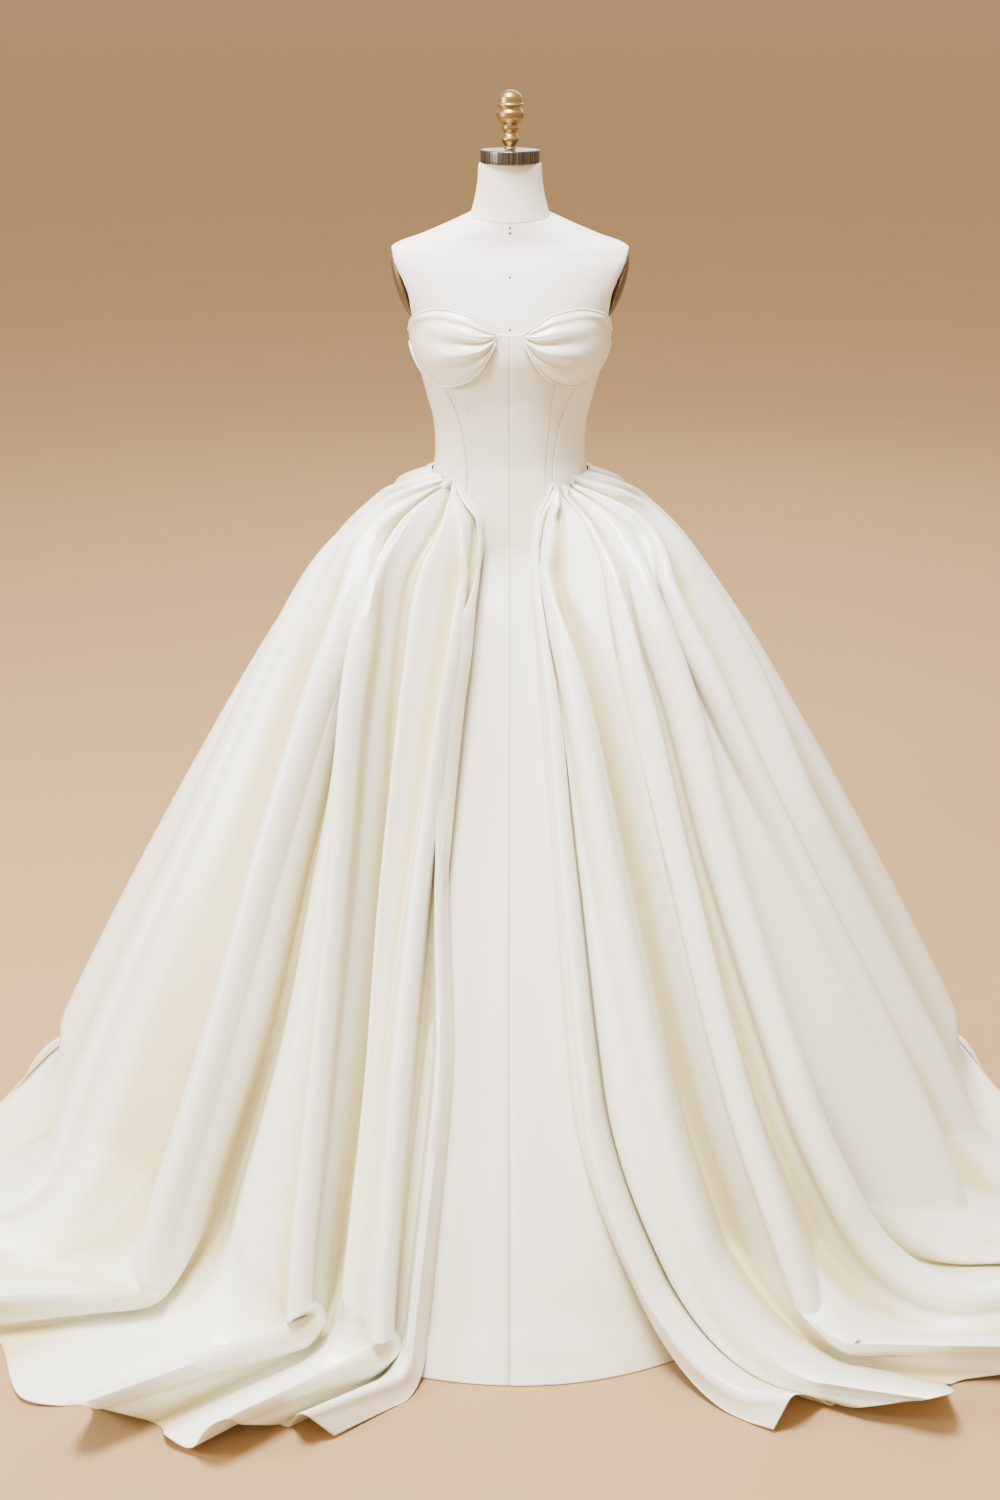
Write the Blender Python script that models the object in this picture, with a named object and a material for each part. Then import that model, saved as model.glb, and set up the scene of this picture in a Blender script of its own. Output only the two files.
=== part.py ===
"""Strapless satin ball gown standing on a limbless dress form.

Metres, +Z up. The front of the gown faces -Y, and the origin lies on the floor under the form's pole.
Cloth is a thin wall: a flat slab of grid squares is bent to a surface that is worked out from short tables.
Angles around the body run from 0 at the centre front to 180 at the centre back, on each side.
"""
import math
from collections import namedtuple

import bmesh
import bpy
from mathutils import Matrix, Vector

# ---------------------------------------------------------------- driving dimensions
WALL = 0.0018             # satin with its backing
CLEAR = 0.0025            # bodice to dress form
SEAM = 0.0003             # between neighbouring pieces
SKIRT_SEAM = 0.0006       # between hanging skirt panels
FLOOR_SEAM = 0.0018       # between skirt panels on the floor, where their edges twist
LIFT = 0.0030             # skirt's outer face above the bodice's outer face at the waist seam
WAIST_SEAM = 1.170        # height of the skirt's top edge
BACK_START_ANGLE = 76     # from here the skirt eases into its narrower back
BACK_FULL_ANGLE = 150

NECK_TOP = 1.6930
CAP_HEIGHT = 0.0222
CAP_RADIUS = 0.0495
ARM_PLANE_X = 0.1600      # half width of the form where the armhole plane starts
ARM_PLANE_Z = 1.42
ARM_PLANE_SLOPE = 0.30
ARM_PLATE_BULGE = 0.0110
TORSO_BOTTOM = 0.90
POLE_RADIUS = 0.016
BASE_RADIUS = 0.20
BASE_HEIGHT = 0.030

ZIP_TOP = 1.403
ZIP_BOTTOM = 1.162
ZIP_WIDTH = 0.0050
ZIP_SINK = 0.0003         # closed tapes below the face of the back panels
SLIDER_HEIGHT = 0.0100
SLIDER_WIDTH = 0.0064
SLIDER_THICK = 0.0022
SLIDER_TOP = 1.4010
PIN_RADIUS = 0.0007
PIN_STAND = 0.0021        # pin's axis above the slider's face
LUG_THICK = 0.0009
KNUCKLE_WIDTH = 0.0036
KNUCKLE_RADIUS = 0.0017
KNUCKLE_BORE = 0.0011
PULL_LENGTH = 0.0240
PULL_WIDTH = 0.0062
PULL_THICK = 0.0012

# ---------------------------------------------------------------- tables
FormRing = namedtuple("FormRing", "height half_width front back square")
FORM_RINGS = (
    FormRing(0.900, 0.150, 0.105, 0.120, 2.1),
    FormRing(0.980, 0.166, 0.117, 0.132, 2.1),
    FormRing(1.060, 0.160, 0.112, 0.126, 2.1),
    FormRing(1.120, 0.143, 0.104, 0.112, 2.1),
    FormRing(1.165, 0.1295, 0.098, 0.098, 2.1),
    FormRing(1.200, 0.1240, 0.094, 0.090, 2.1),
    FormRing(1.250, 0.1265, 0.096, 0.084, 2.1),
    FormRing(1.300, 0.1385, 0.101, 0.086, 2.1),
    FormRing(1.340, 0.1490, 0.110, 0.090, 2.1),
    FormRing(1.385, 0.1610, 0.119, 0.094, 2.1),
    FormRing(1.420, 0.1650, 0.116, 0.097, 2.1),
    FormRing(1.460, 0.1820, 0.103, 0.099, 2.2),
    FormRing(1.500, 0.2020, 0.086, 0.099, 2.3),
    FormRing(1.531, 0.2120, 0.072, 0.094, 2.4),
    FormRing(1.552, 0.2000, 0.062, 0.082, 2.4),
    FormRing(1.571, 0.1520, 0.056, 0.073, 2.2),
    FormRing(1.592, 0.1020, 0.054, 0.067, 2.1),
    FormRing(1.606, 0.0720, 0.053, 0.062, 2.0),
)

# Outer face of the skirt between folds: distance from the axis at the front, side and back. It lies on
# the front up to the angle flat, and from the angle full on it has its whole dome.
SkirtRing = namedtuple("SkirtRing", "height front side back flat full")
SKIRT_RINGS = (
    SkirtRing(1.170, 0.1060, 0.1350, 0.1060, 54.0, 80.0),
    SkirtRing(1.163, 0.1090, 0.1570, 0.1350, 50.0, 78.0),
    SkirtRing(1.145, 0.1110, 0.1900, 0.1750, 40.0, 70.0),
    SkirtRing(1.105, 0.1140, 0.2400, 0.2250, 24.0, 60.0),
    SkirtRing(1.040, 0.1300, 0.3020, 0.2900, 15.0, 52.0),
    SkirtRing(0.950, 0.1900, 0.3620, 0.3520, 10.0, 50.0),
    SkirtRing(0.850, 0.2580, 0.4260, 0.4150, 8.0, 50.0),
    SkirtRing(0.700, 0.3540, 0.5120, 0.5000, 8.0, 50.0),
    SkirtRing(0.500, 0.4900, 0.6220, 0.6050, 8.0, 50.0),
    SkirtRing(0.300, 0.6250, 0.7270, 0.7000, 8.0, 50.0),
    SkirtRing(0.130, 0.7400, 0.8100, 0.7700, 8.0, 50.0),
    SkirtRing(0.000, 0.8150, 0.8550, 0.8150, 8.0, 50.0),
)

# A fold line runs from the waist seam down the skirt, breaks at the floor and runs out to the hem.
# Angles are at the heights in FOLD_HEIGHTS; rise_ values lift the line off the ring surface (below
# zero is a valley); reach is its distance from the axis at the floor; run_x (away from the middle)
# and run_y carry it along the floor; roll is its height there and bend the size of its floor break.
FOLD_HEIGHTS = (1.170, 1.100, 1.020, 0.880, 0.620, 0.330, 0.0)
Fold = namedtuple("Fold", "top hip seat thigh knee shin floor rise_hip rise_mid rise_low "
                          "reach run_x run_y roll bend")
LEFT_FOLDS = (
    Fold(50.0, 22.0, 20.5, 20.0, 14.0, 8.5, 9.0, 0.001, 0.010, 0.012, 0.845, 0.115, -0.095, 0.006, 0.030),
    Fold(51.0, 24.0, 22.0, 20.5, 15.0, 10.0, 10.5, 0.009, 0.026, 0.032, 0.840, 0.140, -0.110, 0.032, 0.030),
    Fold(52.0, 27.0, 24.0, 21.5, 17.0, 13.0, 12.0, 0.010, 0.004, -0.010, 0.800, 0.170, -0.130, 0.003, 0.060),
    Fold(54.0, 33.0, 26.5, 24.0, 20.5, 16.5, 13.5, 0.014, 0.022, 0.032, 0.800, 0.220, -0.190, 0.038, 0.030),
    Fold(55.0, 38.0, 33.0, 29.5, 25.0, 20.0, 17.0, 0.012, 0.004, -0.006, 0.780, 0.240, -0.190, 0.003, 0.080),
    Fold(56.0, 42.5, 40.5, 35.5, 28.5, 23.0, 20.5, -0.006, -0.028, -0.032, 0.765, 0.270, -0.200, 0.003, 0.080),
    Fold(57.0, 48.5, 45.0, 39.5, 32.0, 26.5, 22.0, 0.012, 0.014, 0.024, 0.795, 0.305, -0.200, 0.046, 0.025),
    Fold(57.5, 53.0, 48.0, 42.5, 36.0, 32.0, 31.0, 0.006, -0.006, -0.014, 0.810, 0.300, -0.140, 0.003, 0.110),
    Fold(58.0, 57.0, 50.0, 44.5, 41.0, 38.0, 38.0, -0.010, -0.028, -0.034, 0.820, 0.300, -0.090, 0.003, 0.110),
    Fold(58.5, 63.0, 54.5, 49.0, 45.0, 42.0, 39.5, 0.012, 0.022, 0.034, 0.870, 0.400, -0.050, 0.050, 0.030),
    Fold(59.0, 69.0, 64.0, 57.0, 51.5, 51.0, 51.0, -0.006, -0.020, -0.026, 0.850, 0.330, -0.010, 0.003, 0.110),
    Fold(60.0, 82.0, 84.0, 78.0, 70.0, 65.0, 59.5, 0.008, 0.016, 0.030, 0.895, 0.330, 0.030, 0.042, 0.035),
    Fold(66.0, 92.0, 93.0, 89.0, 82.0, 77.0, 73.0, -0.004, -0.014, -0.018, 0.850, 0.180, 0.020, 0.003, 0.090),
    Fold(73.0, 101.0, 101.0, 97.0, 92.0, 89.0, 86.0, 0.006, 0.012, 0.014, 0.825, 0.040, 0.060, 0.024, 0.035),
    Fold(82.0, 110.0, 110.0, 108.0, 104.0, 101.0, 98.0, -0.003, -0.010, -0.012, 0.800, 0.020, 0.110, 0.003, 0.080),
)
RIGHT_FOLDS = (
    Fold(42.0, 21.0, 16.0, 12.5, 10.5, 9.5, 17.0, 0.001, 0.010, 0.012, 0.880, 0.115, -0.070, 0.006, 0.090),
    Fold(43.0, 23.0, 18.0, 15.0, 12.5, 11.5, 18.5, 0.009, 0.024, 0.030, 0.875, 0.130, -0.065, 0.032, 0.080),
    Fold(44.0, 26.0, 20.0, 18.5, 15.5, 14.5, 21.5, 0.008, 0.000, -0.012, 0.840, 0.160, -0.080, 0.003, 0.100),
    Fold(45.0, 30.0, 23.5, 22.5, 20.5, 20.5, 25.0, 0.014, 0.020, 0.030, 0.880, 0.250, -0.100, 0.036, 0.110),
    Fold(46.0, 36.0, 29.0, 27.0, 26.0, 26.5, 29.0, 0.004, -0.024, -0.032, 0.850, 0.250, -0.080, 0.003, 0.100),
    Fold(48.0, 41.5, 37.5, 34.0, 30.5, 29.5, 31.0, 0.014, 0.020, 0.030, 0.925, 0.400, -0.030, 0.044, 0.025),
    Fold(50.0, 43.5, 40.5, 38.0, 35.0, 34.5, 38.0, 0.008, 0.002, 0.000, 0.880, 0.340, -0.030, 0.003, 0.110),
    Fold(52.0, 50.0, 46.0, 44.0, 40.5, 39.5, 45.0, 0.014, 0.020, 0.034, 0.890, 0.380, -0.020, 0.046, 0.120),
    Fold(54.0, 54.5, 48.5, 46.5, 44.5, 45.0, 49.0, -0.008, -0.032, -0.044, 0.810, 0.340, 0.000, 0.003, 0.110),
    Fold(56.0, 61.0, 52.0, 51.0, 53.0, 55.0, 56.5, 0.014, 0.022, 0.034, 0.930, 0.340, 0.030, 0.040, 0.030),
    Fold(58.0, 68.0, 62.0, 58.0, 58.0, 60.0, 64.0, -0.012, -0.022, -0.014, 0.880, 0.280, 0.060, 0.003, 0.090),
    Fold(62.0, 80.0, 80.0, 76.0, 70.0, 69.0, 71.0, 0.008, 0.014, 0.016, 0.880, 0.230, 0.030, 0.020, 0.060),
    Fold(67.0, 92.0, 92.0, 88.0, 83.0, 80.0, 79.0, -0.003, -0.010, -0.012, 0.840, 0.100, 0.050, 0.003, 0.070),
    Fold(73.0, 101.0, 101.0, 98.0, 94.0, 91.0, 88.0, 0.006, 0.012, 0.014, 0.825, 0.030, 0.070, 0.024, 0.035),
    Fold(82.0, 110.0, 110.0, 108.0, 104.0, 101.0, 98.0, -0.003, -0.010, -0.012, 0.800, 0.020, 0.110, 0.003, 0.080),
)
BACK_FOLDS = (
    Fold(93.0, 120.0, 120.0, 118.0, 115.0, 112.0, 109.0, 0.008, 0.014, 0.018, 0.815, 0.035, 0.120, 0.034, 0.040),
    Fold(106.0, 130.0, 129.0, 128.0, 125.0, 123.0, 121.0, -0.004, -0.016, -0.022, 0.790, 0.060, 0.180, 0.003, 0.090),
    Fold(120.0, 140.0, 139.0, 138.0, 136.0, 134.0, 133.0, 0.009, 0.020, 0.026, 0.835, 0.070, 0.240, 0.040, 0.040),
    Fold(135.0, 150.0, 149.0, 149.0, 147.0, 147.0, 146.0, -0.004, -0.016, -0.024, 0.805, 0.065, 0.300, 0.003, 0.090),
    Fold(150.0, 161.0, 160.0, 160.0, 159.0, 159.0, 159.0, 0.009, 0.020, 0.026, 0.850, 0.045, 0.345, 0.042, 0.040),
    Fold(165.0, 171.0, 170.0, 170.0, 170.0, 170.0, 170.0, -0.003, -0.010, -0.012, 0.830, 0.020, 0.370, 0.003, 0.090),
    Fold(180.0, 180.0, 180.0, 180.0, 180.0, 180.0, 180.0, 0.004, 0.006, 0.008, 0.840, 0.000, 0.385, 0.016, 0.060),
)
SEAM_FOLD = 14            # the fold line on which the side and back skirt panels meet

# Steps down a skirt panel: 0 to 1 hangs, 1 to 2 turns at the floor, 2 to 3 lies on it.
SKIRT_STEPS = (0.0, 0.012, 0.035, 0.075, 0.13, 0.21, 0.32, 0.46, 0.63, 0.82, 1.0, 1.25, 1.5, 1.75, 2.0, 2.5, 3.0)
FRONT_HEIGHTS = (1.425, 1.405, 1.386, 1.367, 1.353, 1.340, 1.314, 1.288, 1.262, 1.235, 1.208, 1.181, 1.155,
                 1.130, 1.100, 1.060, 1.000, 0.900, 0.780, 0.640, 0.480, 0.320, 0.180, 0.070, 0.025, 0.004)

# Seams of the bodice, as the angle from the centre front at each height.
SeamPoint = namedtuple("SeamPoint", "height princess side_front")
SEAM_POINTS = (
    SeamPoint(0.000, 20.0, 24.0),
    SeamPoint(0.300, 21.0, 25.0),
    SeamPoint(0.700, 24.0, 28.0),
    SeamPoint(1.000, 27.0, 33.0),
    SeamPoint(1.100, 30.0, 37.0),
    SeamPoint(1.170, 33.0, 40.0),
    SeamPoint(1.240, 36.0, 44.5),
    SeamPoint(1.276, 36.5, 47.0),
    SeamPoint(1.327, 36.5, 55.0),
    SeamPoint(1.340, 36.0, 57.0),
    SeamPoint(1.367, 19.5, 60.0),
    SeamPoint(1.405, 11.5, 64.0),
    SeamPoint(1.425, 10.0, 66.0),
)
SIDE_SEAM_ANGLE = 86
SIDE_BACK_ANGLE = 135

# Upper and lower edge of a cup, as heights at angles from the centre front.
CupPoint = namedtuple("CupPoint", "angle lower upper")
CUP_POINTS = (
    CupPoint(10.5, 1.4100, 1.4250),
    CupPoint(14.0, 1.3920, 1.4300),
    CupPoint(20.0, 1.3680, 1.4390),
    CupPoint(33.0, 1.3420, 1.4550),
    CupPoint(50.0, 1.3310, 1.4620),
    CupPoint(62.0, 1.3370, 1.4540),
    CupPoint(72.0, 1.3530, 1.4370),
    CupPoint(79.0, 1.3740, 1.4210),
    CupPoint(85.0, 1.3930, 1.4130),
)
CUP_FULLNESS = 0.026
# Gathers run from the inner end of a cup: position across it, depth, and how far they reach.
Gather = namedtuple("Gather", "place depth reach width")
GATHERS = (
    Gather(0.60, -0.0045, 0.62, 0.10),
    Gather(0.25, -0.0040, 0.60, 0.10),
    Gather(0.80, 0.0030, 0.75, 0.10),
    Gather(0.43, 0.0030, 0.55, 0.09),
)

# Height of the bodice's lower edge, hidden under the skirt.
HemPoint = namedtuple("HemPoint", "angle height")
BODICE_HEM = (
    HemPoint(30.0, 1.120),
    HemPoint(37.0, 1.138),
    HemPoint(45.0, 1.148),
    HemPoint(60.0, 1.158),
    HemPoint(90.0, 1.161),
    HemPoint(180.0, 1.161),
)
BACK_NECKLINE_SIDE = 1.422
BACK_NECKLINE_CENTRE = 1.405

TurnPoint = namedtuple("TurnPoint", "radius height")
FINIAL = (
    TurnPoint(0.0095, 0.0000), TurnPoint(0.0085, 0.0050), TurnPoint(0.0115, 0.0095),
    TurnPoint(0.0150, 0.0165), TurnPoint(0.0128, 0.0225), TurnPoint(0.0105, 0.0270),
    TurnPoint(0.0125, 0.0310), TurnPoint(0.0140, 0.0355), TurnPoint(0.0130, 0.0400),
    TurnPoint(0.0180, 0.0460), TurnPoint(0.0228, 0.0545), TurnPoint(0.0228, 0.0600),
    TurnPoint(0.0190, 0.0670), TurnPoint(0.0178, 0.0705), TurnPoint(0.0226, 0.0725),
    TurnPoint(0.0226, 0.0745), TurnPoint(0.0206, 0.0765), TurnPoint(0.0196, 0.0860),
    TurnPoint(0.0145, 0.0930), TurnPoint(0.0070, 0.0970),
)
NECK_RINGS = (
    TurnPoint(0.0670, 0.0000), TurnPoint(0.0635, 0.0120), TurnPoint(0.0588, 0.0300),
    TurnPoint(0.0545, 0.0550), TurnPoint(0.0518, 0.0850),
)


# ---------------------------------------------------------------- curves and surfaces
def smooth(amount):
    """Ease from 0 to 1."""
    amount = min(max(amount, 0.0), 1.0)
    return amount * amount * (3.0 - 2.0 * amount)


def bump(distance, width):
    """A soft ridge of height 1 that has died away two widths from its middle."""
    return math.exp(-(distance / width) ** 2)


def along(keys, values, key):
    """Read a smooth curve through values at keys, which may rise or fall, without overshoot."""
    if keys[0] > keys[-1]:
        keys = keys[::-1]
        values = values[::-1]
    if key <= keys[0]:
        return values[0]
    if key >= keys[-1]:
        return values[-1]
    last = len(keys) - 1
    slot = next(index for index in range(last) if key <= keys[index + 1])
    slopes = [(values[i + 1] - values[i]) / (keys[i + 1] - keys[i]) for i in range(last)]

    def tangent(index):
        if index == 0 or index == last:
            return slopes[min(index, last - 1)]
        before, after = slopes[index - 1], slopes[index]
        if before * after <= 0.0:
            return 0.0
        return 2.0 * before * after / (before + after)

    span = keys[slot + 1] - keys[slot]
    part = (key - keys[slot]) / span
    rise = values[slot + 1] - values[slot]
    start = tangent(slot) * span
    end = tangent(slot + 1) * span
    return (values[slot] + start * part + (3.0 * rise - 2.0 * start - end) * part ** 2
            + (start + end - 2.0 * rise) * part ** 3)


def column(rows, name):
    return tuple(getattr(row, name) for row in rows)


FORM_KEYS = column(FORM_RINGS, "height")
FORM_COLUMNS = {name: column(FORM_RINGS, name) for name in ("half_width", "front", "back", "square")}
SKIRT_KEYS = column(SKIRT_RINGS, "height")
SKIRT_COLUMNS = {name: column(SKIRT_RINGS, name) for name in ("front", "side", "back", "flat", "full")}


def form_radius(angle, height):
    """Distance from the axis to the dress form's surface."""
    half_width, front, back, square = (along(FORM_KEYS, FORM_COLUMNS[name], height)
                                       for name in ("half_width", "front", "back", "square"))
    turn = math.radians(angle)
    across = abs(math.sin(turn)) / half_width
    deep = math.cos(turn)
    deep = deep / front if deep > 0.0 else -deep / back
    return (across ** square + deep ** square) ** (-1.0 / square)


def polar(side, angle, radius, height):
    """A point at an angle from the centre front, on the side whose sign is given."""
    turn = math.radians(angle)
    return Vector((side * radius * math.sin(turn), -radius * math.cos(turn), height))


def bodice_radius(angle, height):
    """Outer face of the fitted bodice."""
    return form_radius(angle, max(height, TORSO_BOTTOM)) + CLEAR + WALL


def skirt_radius(angle, height):
    """Outer face of the skirt between its folds."""
    front, side, back, flat, full = (along(SKIRT_KEYS, SKIRT_COLUMNS[name], height)
                                     for name in ("front", "side", "back", "flat", "full"))
    radius = front + (side - front) * smooth((angle - flat) / (full - flat))
    radius += (back - radius) * smooth((angle - BACK_START_ANGLE) / (BACK_FULL_ANGLE - BACK_START_ANGLE))
    if height < TORSO_BOTTOM:
        return radius
    return max(radius, bodice_radius(angle, height) + LIFT)


def fold_point(fold, side, step):
    """A point on one fold line; step runs 0 to 3 from the waist seam to the hem."""
    corner = polar(side, fold.floor, fold.reach, fold.roll)
    run = Vector((side * fold.run_x, fold.run_y, 0.0))
    if step > 2.0:
        return corner + run * (fold.bend / run.length + (1.0 - fold.bend / run.length) * (step - 2.0))
    drop_to = fold.bend + fold.roll
    height = drop_to + (WAIST_SEAM - drop_to) * (1.0 - min(step, 1.0))
    angles = (fold.top, fold.hip, fold.seat, fold.thigh, fold.knee, fold.shin, fold.floor)
    angle = along(FOLD_HEIGHTS, angles, height)
    rises = (0.0, fold.rise_hip, fold.rise_mid, fold.rise_low, fold.rise_low)
    rise = along((WAIST_SEAM, 1.10, 0.60, 0.15, 0.0), rises, height)
    hanging = polar(side, angle, skirt_radius(angle, height) + rise, height)
    if step <= 1.0:
        return hanging
    lying = corner + run.normalized() * fold.bend
    part = step - 1.0
    return hanging * (1.0 - part) ** 2 + corner * (2.0 * part * (1.0 - part)) + lying * part ** 2


def skirt_point(folds, side, place, step):
    """A point of the pleated skirt; place runs along the list of fold lines."""
    last = len(folds) - 1
    slot = min(int(place), last - 1)
    part = place - slot
    lines = []
    for index in (slot - 1, slot, slot + 1, slot + 2):
        mirrored = index > last
        fold = folds[2 * last - index if mirrored else max(index, 0)]
        lines.append(fold_point(fold, -side if mirrored else side, step))
    leave = (lines[2] - lines[0]) * 0.5
    arrive = (lines[3] - lines[1]) * 0.5
    rise = lines[2] - lines[1]
    return (lines[1] + leave * part + (rise * 3.0 - leave * 2.0 - arrive) * part ** 2
            + (leave + arrive - rise * 2.0) * part ** 3)


def front_point(side, across, height):
    """A point of the centre front; across runs 0 to 1 from the middle seam to the outer one."""
    edge = along(column(SEAM_POINTS, "height"), column(SEAM_POINTS, "princess"), height)
    angle = edge * across
    fitted = bodice_radius(angle, height)
    if height > WAIST_SEAM:
        return polar(side, angle, fitted, height)
    cone = max(along(SKIRT_KEYS, SKIRT_COLUMNS["front"], height), fitted + 0.008)
    tuck = 0.050 * smooth((1.06 - height) / 0.5) * across ** 2
    flare = 0.010 * smooth((0.06 - height) / 0.06)
    leave = smooth((WAIST_SEAM - height) / 0.14)
    hanging = cone - 0.008 - tuck + flare
    return polar(side, angle, max(fitted, fitted + (hanging - fitted) * leave), height)


def cup_point(side, across, up):
    """A point of a cup, from its gathered inner end (across 0) to the side seam (across 1)."""
    first, last = CUP_POINTS[0].angle, CUP_POINTS[-1].angle
    angle = first + (last - first) * across
    angles = column(CUP_POINTS, "angle")
    lower = along(angles, column(CUP_POINTS, "lower"), angle)
    upper = along(angles, column(CUP_POINTS, "upper"), angle)
    height = lower + (upper - lower) * up
    middle = min(max(across, 0.0), 1.0)
    arch = (math.sin(math.pi * middle) ** 0.9 * (1.15 - middle)
            * math.sin(math.pi * (0.08 + 0.84 * up)) ** 0.8)
    radius = bodice_radius(angle, height) + 0.0030 + CUP_FULLNESS * arch
    for gather in GATHERS:
        middle = gather.place + (0.5 - gather.place) * 0.1
        strength = smooth(across / 0.06) * smooth((gather.reach - across) / (gather.reach * 0.8))
        radius += gather.depth * strength * bump(up - middle, gather.width * (0.6 + 0.8 * across))
    return polar(side, angle, radius, height)


def panel_point(side, edges, hems, across, down):
    """A point of a fitted bodice panel between two seams, given as functions of height and angle."""
    start, end = edges
    top, bottom = hems
    middle = (start(1.25) + end(1.25)) * 0.5
    angle = middle
    height = 1.25
    for _ in range(3):
        height = top(angle) + (bottom(angle) - top(angle)) * down
        angle = start(height) + (end(height) - start(height)) * across
    return polar(side, angle, bodice_radius(angle, height), height)


# ---------------------------------------------------------------- building
def material(name, colour, roughness, metallic=0.0):
    found = bpy.data.materials.get(name)
    if found:
        return found
    made = bpy.data.materials.new(name)
    made.use_nodes = True
    shader = made.node_tree.nodes["Principled BSDF"]
    shader.inputs["Base Color"].default_value = (*colour, 1.0)
    shader.inputs["Roughness"].default_value = roughness
    shader.inputs["Metallic"].default_value = metallic
    return made


def satin():
    return material("ivory_satin", (0.86, 0.83, 0.76), 0.38)


def linen():
    return material("form_linen", (0.84, 0.81, 0.76), 0.85)


def steel():
    return material("brushed_steel", (0.45, 0.44, 0.42), 0.35, 1.0)


def brass():
    return material("aged_brass", (0.62, 0.46, 0.24), 0.32, 1.0)


def plate_finish():
    return material("arm_plate_bronze", (0.33, 0.24, 0.13), 0.45, 0.6)


def add_object(name, bm, finish, is_round=True):
    """Turn a bmesh into a named object whose faces point outwards."""
    bmesh.ops.recalc_face_normals(bm, faces=bm.faces)
    if bm.calc_volume(signed=True) < 0.0:
        bmesh.ops.reverse_faces(bm, faces=bm.faces)
    mesh = bpy.data.meshes.new(name)
    bm.to_mesh(mesh)
    bm.free()
    if is_round:
        mesh.shade_smooth()
        mesh.set_sharp_from_angle(angle=math.radians(40))
    mesh.materials.append(finish)
    made = bpy.data.objects.new(name, mesh)
    bpy.context.scene.collection.objects.link(made)
    return made


def slab(across, down):
    """A flat slab of grid squares: x and y run 0 to 1 over it, and z is 0 inside and 1 outside."""
    bm = bmesh.new()
    bmesh.ops.create_grid(bm, x_segments=across, y_segments=down, size=0.5)
    bmesh.ops.translate(bm, verts=bm.verts, vec=(0.5, 0.5, 0.0))
    raised = bmesh.ops.extrude_face_region(bm, geom=bm.faces, use_keep_orig=True)
    outer = [item for item in raised["geom"] if isinstance(item, bmesh.types.BMVert)]
    bmesh.ops.translate(bm, verts=outer, vec=(0.0, 0.0, 1.0))
    return bm


def surface_normal(surface, across, down):
    reach = 0.002
    sideways = surface(across + reach, down) - surface(across - reach, down)
    lengthways = surface(across, down + reach) - surface(across, down - reach)
    return sideways.cross(lengthways).normalized()


def cloth(name, across, down, surface, wall=WALL):
    """A wall of cloth whose outer face follows surface(across, down), each from 0 to 1."""
    bm = slab(across, down)
    middle = surface(0.5, 0.5)
    outward = 1.0 if surface_normal(surface, 0.5, 0.5).dot(Vector((middle.x, middle.y, 0.0))) > 0.0 else -1.0
    places = {}
    for vert in bm.verts:
        u, v, layer = vert.co
        inward = surface_normal(surface, u, v) * (-outward * wall)
        places[vert] = surface(u, v) if layer > 0.5 else surface(u, v) + inward
    for vert, place in places.items():
        vert.co = place
        if vert.co.z < 0.0009:
            vert.co.z = 0.0
    return add_object(name, bm, satin())


def spread(steps, amount):
    """Read a list of steps at an amount from 0 to 1, in a straight line between them."""
    place = amount * (len(steps) - 1)
    slot = min(max(int(place), 0), len(steps) - 2)
    return steps[slot] + (steps[slot + 1] - steps[slot]) * (place - slot)


def skirt_panel(name, folds, side, first, last):
    """One skirt panel between two fold lines, a seam's half gap inside each."""
    count = (last - first) * 2
    rows = len(SKIRT_STEPS) - 1

    def surface(across, down):
        point = skirt_point(folds, side, first + (last - first) * across, spread(SKIRT_STEPS, down))
        step = spread(SKIRT_STEPS, down)
        near = min(max(across, 0.0), 1.0)
        if near < 0.01 or near > 0.99:
            inward = 0.02 if near < 0.01 else -0.02
            away = skirt_point(folds, side, first + (last - first) * (near + inward), step) - point
            gap = SKIRT_SEAM + (FLOOR_SEAM - SKIRT_SEAM) * smooth((step - 0.7) / 0.3)
            point = point + away.normalized() * (gap * 0.5)
        return point

    return cloth(name, count, rows, surface)


def add_skirt():
    for label, side, folds in (("left", -1, LEFT_FOLDS), ("right", 1, RIGHT_FOLDS)):
        whole = folds + BACK_FOLDS
        skirt_panel("skirt_side_" + label, whole, side, 0, SEAM_FOLD)
        skirt_panel("skirt_back_" + label, whole, side, SEAM_FOLD, len(whole) - 1)


def add_centre_front():
    for label, side in (("left", -1), ("right", 1)):
        def surface(across, down, side=side):
            point = front_point(side, across, spread(FRONT_HEIGHTS, down))
            return point + Vector((side * SEAM * 0.5, 0.0, 0.0))

        cloth("centre_front_" + label, 4, len(FRONT_HEIGHTS) - 1, surface)


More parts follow.
